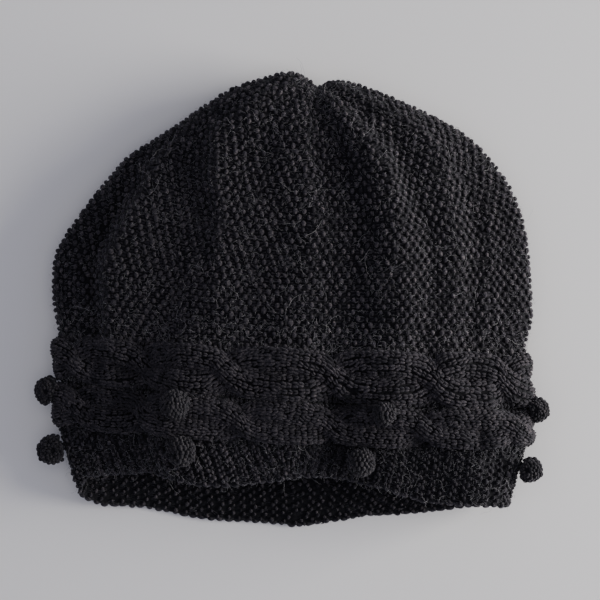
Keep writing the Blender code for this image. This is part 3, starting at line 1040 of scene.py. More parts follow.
def new_mesh(name: str, points: Array, faces: Array, corner_uv: Array) -> Mesh:
    """A mesh of triangles with a UV map.

    Args:
        name: The mesh's name.
        points: Its points.
        faces: Three point numbers for each triangle.
        corner_uv: Two coordinates for each corner of each triangle.

    Returns:
        The mesh, shaded smooth.
    """
    mesh = bpy.data.meshes.new(name)
    mesh.vertices.add(len(points))
    mesh.vertices.foreach_set("co", points.astype(np.float32).ravel())
    mesh.loops.add(faces.size)
    mesh.loops.foreach_set("vertex_index", faces.astype(np.int32).ravel())
    mesh.polygons.add(len(faces))
    mesh.polygons.foreach_set("loop_start", np.arange(0, faces.size, 3, dtype=np.int32))
    mesh.update(calc_edges=True)
    layer = mesh.uv_layers.new(name="UVMap")
    layer.uv.foreach_set("vector", corner_uv.astype(np.float32).ravel())
    mesh.validate()
    mesh.shade_smooth()
    return mesh


def dress(mesh: Mesh, finish: Finish) -> bpy.types.Object:
    """Put a mesh on the hat as a piece of its own.

    Args:
        mesh: The mesh, whose name the piece takes.
        finish: What it is made of.

    Returns:
        The object.
    """
    mesh.materials.clear()
    mesh.materials.append(made(finish))
    piece = bpy.data.objects.new(mesh.name, mesh)
    bpy.context.scene.collection.objects.link(piece)
    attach(piece, BODY)
    LOG.info("%s: %d triangles", piece.name, sum(len(face.vertices) - 2 for face in mesh.polygons))
    return piece


class Smoothness(NamedTuple):
    """How many sections and sides a strand is drawn with."""

    sections: int
    sides: int


@dataclass(frozen=True)
class Arch:
    """Yarn that comes out of the fabric, rises to a crest and dips back into it."""

    reach: float
    crest: float
    foot: float
    thick: float
    thin: float

    def plan(self, share: Array, arc: Array) -> tuple[Array, Array]:
        """Where the yarn runs in the fabric, to the right and up."""
        raise NotImplementedError

    def strand(self, smoothness: Smoothness) -> Strand:
        """The strand of yarn, for a stitch of the standard size.

        Args:
            smoothness: How finely it is drawn.

        Returns:
            The strand.
        """
        share = np.linspace(-1.0, 1.0, smoothness.sections + 2)
        arc = np.sqrt(1 - share**2)
        lift = self.crest - self.thick - self.foot
        path = np.stack((*self.plan(share, arc), self.foot + lift * arc), axis=1)
        radius = self.thin + (self.thick - self.thin) * arc[1:-1] ** 2
        return Strand.along(path, radius, smoothness.sides)


@dataclass(frozen=True)
class PurlBump(Arch):
    """The bar of a purl stitch, which stands up the hat as the hat is knitted sideways."""

    reach: float = 0.00112
    crest: float = 0.00125
    foot: float = -0.00130
    thick: float = 0.00120
    thin: float = 0.00065
    bow: float = 0.00050

    def plan(self, share: Array, arc: Array) -> tuple[Array, Array]:
        """A bar up the hat, bowed a little to the side."""
        return self.bow * (arc - 0.5), self.reach * share


@dataclass(frozen=True)
class KnitLeg(Arch):
    """The upper leg of a knit stitch's V along a row; the other is its mirror image."""

    reach: float = 0.00205
    crest: float = -0.00040
    foot: float = -0.00150
    thick: float = 0.00072
    thin: float = 0.00042
    open_gap: float = 0.00112
    tip_gap: float = 0.00042

    def plan(self, share: Array, arc: Array) -> tuple[Array, Array]:
        """A leg along the row, which nears the other leg towards the V's tip."""
        gap = self.open_gap + (self.tip_gap - self.open_gap) * (share + 1) / 2
        return self.reach * share, gap


def places_on_fabric(turn: Array, level: Array, inset: float, inside: bool = False) -> Stitches:
    """Places for stitches at some turns and levels.

    Args:
        turn: The turns.
        level: The levels, one for each turn.
        inset: How far inside the outer face they lie.
        inside: Whether they face into the hat.

    Returns:
        The places, at the standard size.
    """
    round_hat, up = FABRIC.changes(turn, level, FINE_STEP, inset)
    right = unit(round_hat if inside else -round_hat)
    return Stitches.even(FABRIC.point(turn, level, inset), right, up)


def settled(turn: Array, level: Array, inset: float, apart: float) -> tuple[Array, Array]:
    """Stitches moved apart in the fabric where they crowd, as they settle in real knitting.

    Args:
        turn: Their turns.
        level: Their levels.
        inset: How far inside the outer face they lie.
        apart: How far apart neighbours settle, in metres.

    Returns:
        Their new turns and levels.
    """
    points = FABRIC.point(turn, level, inset)
    tree = KDTree(len(points))
    for index, point in enumerate(points):
        tree.insert(point, index)
    tree.balance()
    pairs = [
        (index, other)
        for index, point in enumerate(points)
        for _, other, _ in tree.find_range(point, NEIGHBOUR_REACH * apart)
        if other > index
    ]
    first, second = np.array(pairs).T
    lowest = level.min()
    highest = level.max()
    for _ in range(SETTLING_STEPS):
        points = FABRIC.point(turn, level, inset)
        gap = points[second] - points[first]
        distance = np.maximum(np.linalg.norm(gap, axis=1, keepdims=True), 1e-6)
        push = np.maximum(0.0, apart - distance) / SETTLING_PARTS * gap / distance
        shift = np.zeros_like(points)
        np.add.at(shift, first, -push)
        np.add.at(shift, second, push)
        changes = FABRIC.changes(turn, level, FINE_STEP, inset)
        round_hat, up_hat = (change / (2 * FINE_STEP) for change in changes)
        up_up = (up_hat**2).sum(1)
        round_round = (round_hat**2).sum(1)
        cross = (up_hat * round_hat).sum(1)
        by_up = (shift * up_hat).sum(1)
        by_round = (shift * round_hat).sum(1)
        area = np.maximum(up_up * round_round - cross**2, 1e-12)
        turn_move = (by_round * up_up - by_up * cross) / area
        level_move = (by_up * round_round - by_round * cross) / area
        turn = turn + np.clip(turn_move, -LARGEST_MOVE, LARGEST_MOVE)
        level = level + np.clip(level_move, -LARGEST_MOVE, LARGEST_MOVE)
        level = np.clip(level, lowest, highest)
    return turn, level


@dataclass(frozen=True)
class SeedPatch:
    """Seed stitch over part of the hat: purl bumps and knit stitches in a checkerboard."""

    LINE_SAMPLES: ClassVar[int] = 60

    low_level: float
    high_level: float
    gores: int
    row_pitch: float = ROW_PITCH
    stitch_pitch: float = STITCH_PITCH
    bump: PurlBump = PurlBump()
    leg: KnitLeg = KnitLeg()
    # How far every other column is drawn to its neighbour, in rows
    pairing: float = 0.0

    def gore_levels(self, inset: float) -> list[Array]:
        """The levels of each gore's stitches, a stitch apart along the gore's middle line.

        Args:
            inset: How far inside the outer face they lie.

        Returns:
            The levels from low to high, for each gore.
        """
        samples = np.linspace(self.low_level, self.high_level, self.LINE_SAMPLES)
        loops = [Loop(float(level), inset) for level in samples]
        tables = []
        for gore in range(self.gores):
            share = (gore + 0.5) / self.gores
            turn = np.array([float(loop.turn(share * loop.length)) for loop in loops])
            distance = run(FABRIC.point(turn, samples, inset))
            count = max(1, round(distance[-1] / self.stitch_pitch))
            spots = (np.arange(count) + 0.5) * distance[-1] / count
            tables.append(np.interp(spots, distance, samples))
        return tables

    def places(self, inset: float, inside: bool = False) -> tuple[Stitches, Array, Array, Array]:
        """All the stitches' places.

        Args:
            inset: How far inside the outer face they lie.
            inside: Whether they face into the hat.

        Returns:
            The places, and each one's kind (whether it is a purl bump), turn and level.
        """
        turns = []
        levels = []
        purls = []
        for gore, table in enumerate(self.gore_levels(inset)):
            for number, level in enumerate(table):
                loop = Loop(float(level), inset)
                gore_width = loop.length / self.gores
                half = max(1, round(gore_width / 2 / self.row_pitch - 0.5))
                spare = gore_width / 2 - (half + 0.5) * self.row_pitch
                columns = np.arange(-half, half + 1)
                outer = np.clip((np.abs(columns) - half + EASED_ROWS) / EASED_ROWS, 0.0, 1.0)
                offsets = columns * self.row_pitch + np.sign(columns) * spare * outer
                offsets -= self.pairing * self.row_pitch * (columns % 2)
                turns.append(loop.turn((gore + 0.5) * gore_width + offsets))
                levels.append(np.full(len(columns), level))
                purls.append((columns + number + gore) % 2 == 0)
        turn = np.concatenate(turns)
        level = np.concatenate(levels)
        purl = np.concatenate(purls)
        if self.pairing == 0.0:
            apart = SETTLED_SHARE * math.hypot(self.row_pitch, self.stitch_pitch)
            turn[purl], level[purl] = settled(turn[purl], level[purl], inset, apart)
        return places_on_fabric(turn, level, inset, inside), purl, turn, level

    def knit(
        self,
        name: str,
        places: Stitches,
        purl: Array,
        tone: Array,
        fineness: tuple[Smoothness, Smoothness],
    ) -> None:
        """Knit some of the stitches, as a mesh of purl bumps and one of knit stitches.

        Args:
            name: The pieces' names, with {} for the kind of stitch.
            places: Where the stitches lie.
            purl: Which of them are purl bumps.
            tone: How light each one's wool is, with any painted light or shade worked in.
            fineness: How finely the bumps and the knit stitches are drawn.
        """
        bumps = Piece(name.format("purl_bumps"))
        bumps.add(self.bump.strand(fineness[0]), places.only(purl), tone[purl])
        bumps.finish(Slot.SEED)
        legs = Piece(name.format("knit_stitches"))
        leg = self.leg.strand(fineness[1])
        for strand in (leg, leg.mirrored()):
            # Knit stitches are painted darker: a painted shade under the purl bumps
            legs.add(strand, places.only(~purl), tone[~purl] * KNIT_PAINTED_SHADE)
        legs.finish(Slot.SEED)


def tones_for(rng: Random, count: int) -> Array:
    """How light each stitch's wool is, from 0 to 1."""
    return np.clip(rng.normal(MEAN_TONE, TONE_SPREAD, count), 0.0, 1.0)


def on_side(turn: Array, side: Side) -> Array:
    """Whether each of some turns lies on a side of the hat."""
    return (np.sin(turn) > UPPER_SIDE) == (side is Side.UPPER)


def even_turns(level: float, columns: int) -> Array:
    """Turns round the hat, evenly spaced along the loop of a level."""
    loop = Loop(level)
    return loop.turn(np.arange(columns) * loop.length / columns)


def face(turns: Array, levels: Array, inset: float) -> Array:
    """A face inside the fabric's outer one, as a ring of points for each level."""
    grid_level, grid_turn = np.meshgrid(levels, turns, indexing="ij")
    return FABRIC.point(grid_turn, grid_level, inset)


def between(low: Array, high: Array) -> Array:
    """Triangles between closed rings of points.

    Args:
        low: The point numbers of the lower rings, along the last axis.
        high: Those of the rings over them.

    Returns:
        Three point numbers for each triangle.
    """
    low_next = np.roll(low, -1, axis=-1)
    high_next = np.roll(high, -1, axis=-1)
    first = np.stack((low, low_next, high_next), axis=-1).reshape(-1, 3)
    second = np.stack((low, high_next, high), axis=-1).reshape(-1, 3)
    return np.concatenate((first, second))


def wall_mesh(name: str, outer: Array, inner: Array, closed_top: bool) -> Mesh:
    """A closed fabric wall between the rings of an outer and an inner face.

    Args:
        name: The mesh's name.
        outer: The outer face's rings of points, from low to high.
        inner: The inner face's rings, as many columns wide.
        closed_top: Whether the last rings close to a point, as at the pole.

    Returns:
        The mesh.
    """
    columns = outer.shape[1]
    points = np.concatenate((outer.reshape(-1, 3), inner.reshape(-1, 3)))
    numbers = np.arange(len(points)).reshape(-1, columns)
    out = numbers[: len(outer)]
    into = numbers[len(outer) :]
    faces = [between(out[:-1], out[1:]), between(into[:-1], into[1:])[:, ::-1]]
    faces.append(between(out[0], into[0])[:, ::-1])
    if closed_top:
        for ring, ring_points, order in ((out[-1], outer[-1], 1), (into[-1], inner[-1], -1)):
            tip = np.full(columns, len(points))
            points = np.concatenate((points, ring_points.mean(0)[None]))
            faces.append(np.stack((ring, np.roll(ring, -1), tip), axis=-1)[:, ::order])
    else:
        faces.append(between(out[-1], into[-1]))
    points[:, 2] = np.maximum(points[:, 2], 0.0)
    all_faces = np.concatenate(faces)[:, ::-1]
    return new_mesh(name, points, all_faces, points[all_faces][:, :, :2])


@dataclass
class Crown:
    """The seed-stitch bag over the cables, with its folds and its gathered pole."""

    columns: int = 240
    rings: int = 60
    inner_rings: int = 24
    top_level: float = 13.7
    # How far the first stitches reach over the cable's edge, in levels
    overlap: float = 0.05
    seed: int = 11

    def build(self) -> None:
        """Make the fabric and its stitches."""
        turns = even_turns(CROWN_LEVEL, self.columns)
        outer_levels = np.linspace(CROWN_LEVEL, self.top_level, self.rings)
        inner_levels = np.linspace(CROWN_LEVEL, self.top_level, self.inner_rings)
        outer = face(turns, outer_levels, CORE_INSET)
        inner = face(turns, inner_levels, WALL)
        fabric = dress(wall_mesh("crown_fabric", outer, inner, True), BACKING)
        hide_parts("crown")
        rng = np.random.default_rng(self.seed)
        patch = SeedPatch(CROWN_LEVEL - self.overlap, self.top_level, GORES)
        places, purl, turn, _ = patch.places(STITCH_SINK)
        places = places.loosened(rng, *UNEVEN).packed()
        tone = tones_for(rng, len(places))
        fineness = {
            Side.UPPER: (Smoothness(4, 6), Smoothness(2, 4)),
            Side.UNDER: (Smoothness(3, 4), Smoothness(2, 3)),
        }
        for side, fine in fineness.items():
            here = on_side(turn, side)
            name = f"crown_{{}}_{side.value}"
            patch.knit(name, places.only(here), purl[here], tone[here], fine)


@dataclass
class Cable:
    """A rope cable of two strands in stocking stitch that cross ten times round the hat."""

    WALE_SAMPLES: ClassVar[int] = 4000
    # Steps in phase and in angle over which a strand's directions are measured
    PHASE_STEP: ClassVar[float] = 0.01
    ANGLE_STEP: ClassVar[float] = 0.05

    spec: CableSpec
    columns: int = 400
    rings: int = 26
    inner_rings: int = 6
    wale_angles: tuple[float, ...] = (-76.0, -43.0, -14.0, 14.0, 43.0, 76.0)
    stitch_length: float = 0.0031
    hollow_depth: float = 0.0016
    ground_height: float = 0.0012
    # How light the purl ground is painted: a painted shade in the hollows beside the strands
    ground_painted_shade: float = 0.3
    # How deep under the other strand stitches are still knitted
    buried_depth: float = 0.0010
    # How far out of step neighbouring columns are, in stitches
    step_spread: float = 0.22
    # How far the backing reaches, in half widths of the cable, so that the seams are closed
    seam_reach: float = 1.04
    seed: int = 21
    ground_seed: int = 28

    def __post_init__(self) -> None:
        """Measure the loop and lay out the crossings."""
        spec = self.spec
        self.middle = (spec.low_level + spec.high_level) / 2
        self.loop = Loop(self.middle)
        places = [self.loop.distance_at_x(x) for x in spec.crossings]
        places.append(places[0] + self.loop.length)
        phases = [float(FIRST_CROSSING + count) for count in range(len(spec.crossings))]
        phases.append(float(FIRST_CROSSING + CROSSINGS))
        self.marks = np.array(places)
        self.phases = np.array(phases)

    def phase(self, turn: Array) -> Array:
        """How many crossings have passed at some turns."""
        start = self.marks[0]
        inside = np.mod(self.loop.distance(turn) - start, self.loop.length) + start
        return np.interp(inside, self.marks, self.phases)

    def turn_at(self, phase: Array) -> Array:
        """The turns where some phases are reached."""
        first = self.phases[0]
        inside = np.mod(phase - first, CROSSINGS) + first
        return self.loop.turn(np.interp(inside, self.phases, self.marks))

    def sections(self, phase: Array) -> dict[str, Array]:
        """The two strands' sections.

        Args:
            phase: How many crossings have passed.

        Returns:
            The half width and each strand's centre, as shares of the cable's half width, each
            strand's height, and how near a crossing is, from 0 to 1.
        """
        beside = phase - np.round(phase)
        turning = np.tanh(2 * beside / CROSSING_REACH)
        swing = (1 - CROSSING_ARCH) * turning + CROSSING_ARCH * np.sin(math.pi * beside)
        crossing = 1 - swing**2
        half_width = STRAND_HALF_WIDTH * (1 + CROSSING_SPREAD * 2 * STRAND_CENTRE * crossing)
        return {
            "half_width": half_width,
            "over_centre": -STRAND_CENTRE * swing,
            "under_centre": STRAND_CENTRE * swing,
            "over_height": STRAND_HEIGHT + CROSSING_LIFT * crossing,
            "under_height": STRAND_HEIGHT - CROSSING_SINK * crossing,
            "crossing": crossing,
        }

    def heights(self, phase: Array, across: Array) -> tuple[Array, Array]:
        """Heights of the upper and the lower strand over the backing.

        Args:
            phase: How many crossings have passed.
            across: Place in the cable's width, from -1 at its lower edge to 1.

        Returns:
            The height of the strand that goes over and of the one that goes under.
        """
        parts = self.sections(phase)
        over = (across - parts["over_centre"]) / parts["half_width"]
        under = (across - parts["under_centre"]) / parts["half_width"]
        over_height = parts["over_height"] * np.sqrt(np.maximum(0.0, 1 - over**2))
        under_height = parts["under_height"] * np.sqrt(np.maximum(0.0, 1 - under**2))
        return over_height, under_height

    def relief(self, phase: Array, across: Array) -> Array:
        """Height of the strands, with the hollows in the corners beside each crossing.

        Args:
            phase: How many crossings have passed.
            across: Place in the cable's width, from -1 at its lower edge to 1.

        Returns:
            The heights over the fabric's face.
        """
        over, under = self.heights(phase, across)
        parts = self.sections(phase)
        edge = parts["over_centre"].clip(0.0) + parts["half_width"]
        outside = np.clip((np.abs(across) - edge) / (1 - edge).clip(0.1), 0.0, 1.0)
        return np.maximum(over, under) - self.hollow_depth * parts["crossing"] * np.sqrt(outside)

    def level(self, across: Array) -> Array:
        """The level at some places in the cable's width."""
        spec = self.spec
        return self.middle + across * (spec.high_level - spec.low_level) / 2

    def build(self) -> None:
        """Make the cable's backing and its stitches."""
        self.add_backing()
        self.add_strands()
        self.add_background()

    def add_backing(self) -> None:
        """Make the fabric under the strands, painted dark as a painted shade, raised where they are."""
        turns = even_turns(self.middle, self.columns)
        across = np.linspace(-self.seam_reach, self.seam_reach, self.rings)
        grid_across, grid_turn = np.meshgrid(across, turns, indexing="ij")
        relief = self.relief(self.phase(grid_turn), grid_across) - CORE_INSET
        outer = FABRIC.lifted(grid_turn, self.level(grid_across), relief)
        inner_across = np.linspace(-self.seam_reach, self.seam_reach, self.inner_rings)
        inner = face(turns, self.level(inner_across), WALL)
        mesh = wall_mesh(f"{self.spec.node}_fabric", outer, inner, False)
        fabric = dress(mesh, BACKING)
        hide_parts(self.spec.node)

    def on_top(self, phase: Array, strand: int) -> Array:
        """Whether a strand goes over the other one at the nearest crossing."""
        return (np.round(phase).astype(int) + strand) % 2 == 0

    def strand_point(self, phase: Array, angle: Array, strand: int) -> Array:
        """Points on a strand's surface.

        Args:
            phase: How many crossings have passed.
            angle: Angle round the strand's section, 0 at its crest.
            strand: Which of the two strands, 0 or 1.

        Returns:
            The points.
        """
        parts = self.sections(phase)
        over = self.on_top(phase, strand)
        centre = np.where(over, parts["over_centre"], parts["under_centre"])
        height = np.where(over, parts["over_height"], parts["under_height"])
        across = centre + parts["half_width"] * np.sin(angle)
        rise = height * np.cos(angle) - STITCH_SINK
        return FABRIC.lifted(self.turn_at(phase), self.level(across), rise)

    def strand_shown(self, phase: Array, angle: Array, strand: int) -> Array:
        """Whether places on a strand show beside the other strand.

        Args:
            phase: How many crossings have passed.
            angle: Angle round the strand's section, 0 at its crest.
            strand: Which of the two strands, 0 or 1.

        Returns:
            True where the other strand doesn't bury the place.
        """
        parts = self.sections(phase)
        over = self.on_top(phase, strand)
        across = parts["under_centre"] + parts["half_width"] * np.sin(angle)
        over_height, under_height = self.heights(phase, across)
        return over | (over_height < under_height + self.buried_depth)

    def add_strands(self) -> None:
        """Knit the two strands in stocking stitch, whose Vs run along them."""
        rng = np.random.default_rng(self.seed + int(self.spec.low_level))
        leg = KnitLeg(
            reach=0.00190,
            open_gap=0.00108,
            tip_gap=0.00036,
            crest=0.00120,
            foot=-0.00045,
            thick=0.00074,
            thin=0.00046,
        )
        fineness = {Side.UPPER: Smoothness(4, 4), Side.UNDER: Smoothness(2, 4)}
        for side, smoothness in fineness.items():
            strand_leg = leg.strand(smoothness)
            piece = Piece(f"{self.spec.node}_knit_stitches_{side.value}", CABLE_FOOT_PAINTED_SHADE)
            for strand in (0, 1):
                for angle_deg in self.wale_angles:
                    offset = 0.5 + rng.normal(0.0, self.step_spread)
                    phase, angle = self.wale(strand, math.radians(angle_deg), side, offset)
                    places = self.strand_places(phase, angle, strand)
                    places = places.loosened(rng, *NEAT).packed()
                    tone = tones_for(rng, len(places))
                    for half in (strand_leg, strand_leg.mirrored()):
                        piece.add(half, places, tone)
            piece.finish(Slot.CABLE)

    def wale(self, strand: int, angle: float, side: Side, offset: float) -> tuple[Array, Array]:
        """Where the stitches of one column along a strand lie.

        Args:
            strand: Which of the two strands, 0 or 1.
            angle: Angle round the strand's section, 0 at its crest.
            side: The side of the hat.
            offset: Where the first stitch lies, in stitches.

        Returns:
            The phases and the angles of the stitches that show.
        """
        samples = np.linspace(0.0, CROSSINGS, self.WALE_SAMPLES) + FIRST_CROSSING
        distance = run(self.strand_point(samples, np.full(len(samples), angle), strand))
        count = round(distance[-1] / self.stitch_length)
        phase = np.interp((np.arange(count) + offset) * distance[-1] / count, distance, samples)
        angles = np.full(count, angle)
        here = on_side(self.turn_at(phase), side)
        shown = self.strand_shown(phase, angles, strand) & here
        return phase[shown], angles[shown]

    def strand_places(self, phase: Array, angle: Array, strand: int) -> Stitches:
        """Places for stitches that lie along a strand.

        Args:
            phase: How many crossings have passed.
            angle: Angle round the strand's section, 0 at its crest.
            strand: Which of the two strands, 0 or 1.

        Returns:
            The places, at the standard size.
        """
        after = self.strand_point(phase + self.PHASE_STEP, angle, strand)
        before = self.strand_point(phase - self.PHASE_STEP, angle, strand)
        left = self.strand_point(phase, angle + self.ANGLE_STEP, strand)
        right = unit(after - before)
        up = left - self.strand_point(phase, angle - self.ANGLE_STEP, strand)
        return Stitches.even(self.strand_point(phase, angle, strand), right, up)

    def add_background(self) -> None:
        """Knit the purl ground beside the strands, at the crossings' corners and the seams."""
        rng = np.random.default_rng(self.ground_seed)
        patch = SeedPatch(self.spec.low_level, self.spec.high_level, 2)
        places, _, turn, level = patch.places(STITCH_SINK)
        across = (level - self.middle) / (self.spec.high_level - self.middle)
        relief = self.relief(self.phase(turn), across)
        # The hollows are filled towards the outline, which would show them as notches
        filled = np.where(relief < 0.0, relief * np.abs(places.out[:, 2]), relief)
        places.origin += places.out * filled[:, None]
        places = places.only(relief < self.ground_height).loosened(rng, *UNEVEN)
        piece = Piece(f"{self.spec.node}_purl_ground")
        # The purl ground is painted darker: a painted shade in the hollows
        tone = tones_for(rng, len(places)) * self.ground_painted_shade
        piece.add(patch.bump.strand(Smoothness(4, 5)), places, tone)
        piece.finish(Slot.CABLE)


@dataclass
class Brim:
    """The seed-stitch band at the open rim, with its knotted edge and its inner face."""

    columns: int = 240
    rings: int = 10
    inner_top_level: float = 1.2
    knot_pitch: float = 0.0050
    # The brim is drawn wider along the rim and shorter up the hat than the crown
    row_pitch: float = 0.0030
    stitch_pitch: float = 0.0022
    pairing: float = 0.32
    bump: PurlBump = PurlBump(reach=0.00092, crest=0.00115, bow=0.0003, thick=0.00098, thin=0.00055)
    leg: KnitLeg = KnitLeg(reach=0.0019, open_gap=0.0008, tip_gap=0.0003, crest=-0.0005, thick=0.0006)
    # Painted light and shade: how light its wool is painted beside the crown's, at these places
    # from left to right, lighter in the middle and darker to the right, as the light falls there,
    # and how light that is again where it meets the cable, above this level: a painted shadow
    # under the cable's edge
    painted_light_places: tuple[float, ...] = (-0.10, -0.065, -0.045, 0.0, 0.02, 0.12)
    painted_light_shares: tuple[float, ...] = (0.90, 0.90, 1.20, 1.20, 0.42, 0.36)
    join_level: float = 0.80
    join_painted_shadow: float = 0.35
    seed: int = 31

    def build(self) -> None:
        """Make the band, its stitches outside and in, and its edge."""
        turns = even_turns(RIM_LEVEL, self.columns)
        levels = np.linspace(RIM_LEVEL, BRIM_TOP_LEVEL, self.rings)
        outer = face(turns, levels, CORE_INSET)
        inner = face(turns, levels, INNER_INSET)
        fabric = dress(wall_mesh("brim_fabric", outer, inner, False), BACKING)
        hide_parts("brim")
        rng = np.random.default_rng(self.seed)
        self.add_face(rng, "brim_{}", BRIM_TOP_LEVEL, False)
        self.add_face(rng, "brim_inside_{}", self.inner_top_level, True)
        self.add_edge(rng)

    def add_face(self, rng: Random, name: str, top_level: float, inside: bool) -> None:
        """Knit one face of the band in seed stitch.

        Args:
            rng: A seeded source of random numbers.
            name: The pieces' names, with {} for the kind of stitch.
            top_level: How far up the hat the face is knitted.
            inside: Whether it faces into the hat.
        """
        sizes = (self.row_pitch, self.stitch_pitch, self.bump, self.leg, self.pairing)
        patch = SeedPatch(RIM_LEVEL, top_level, 2, *sizes)
        inset = WALL - STITCH_SINK if inside else STITCH_SINK
        places, purl, _, level = patch.places(inset, inside)
        places = places.loosened(rng, *NEAT).packed()
        tone = tones_for(rng, len(places))
        if not inside:
            # Painted light and shade across the band, and a painted shadow under the cable's edge
            tone *= np.interp(places.origin[:, 0], self.painted_light_places, self.painted_light_shares)
            tone *= np.interp(level, (self.join_level, BRIM_TOP_LEVEL), (1.0, self.join_painted_shadow))
        fine = (Smoothness(3, 4), Smoothness(2, 3)) if inside else (Smoothness(4, 5), Smoothness(2, 4))
        patch.knit(name, places, purl, tone, fine)

    def add_edge(self, rng: Random) -> None:
        """Make the row of small knots where the rows turn back at the rim.

        Args:
            rng: A seeded source of random numbers.
        """
        loop = Loop(RIM_LEVEL, WALL / 2)
        count = round(loop.length / self.knot_pitch)
        turn = loop.turn((np.arange(count) + 0.5) * loop.length / count)
        places = places_on_fabric(turn, np.zeros(count), WALL / 2)
        knot = PurlBump(reach=0.0020, crest=0.0013, foot=-0.0013, thick=0.0012, thin=0.0008, bow=0.0)
        along = replace(places, right=places.out, up=places.right, out=-places.up)
        along = along.loosened(rng, *UNEVEN)
        piece = Piece("brim_edge_knots")
        piece.add(knot.strand(Smoothness(5, 8)), along, tones_for(rng, count))
        piece.finish(Slot.SEED)


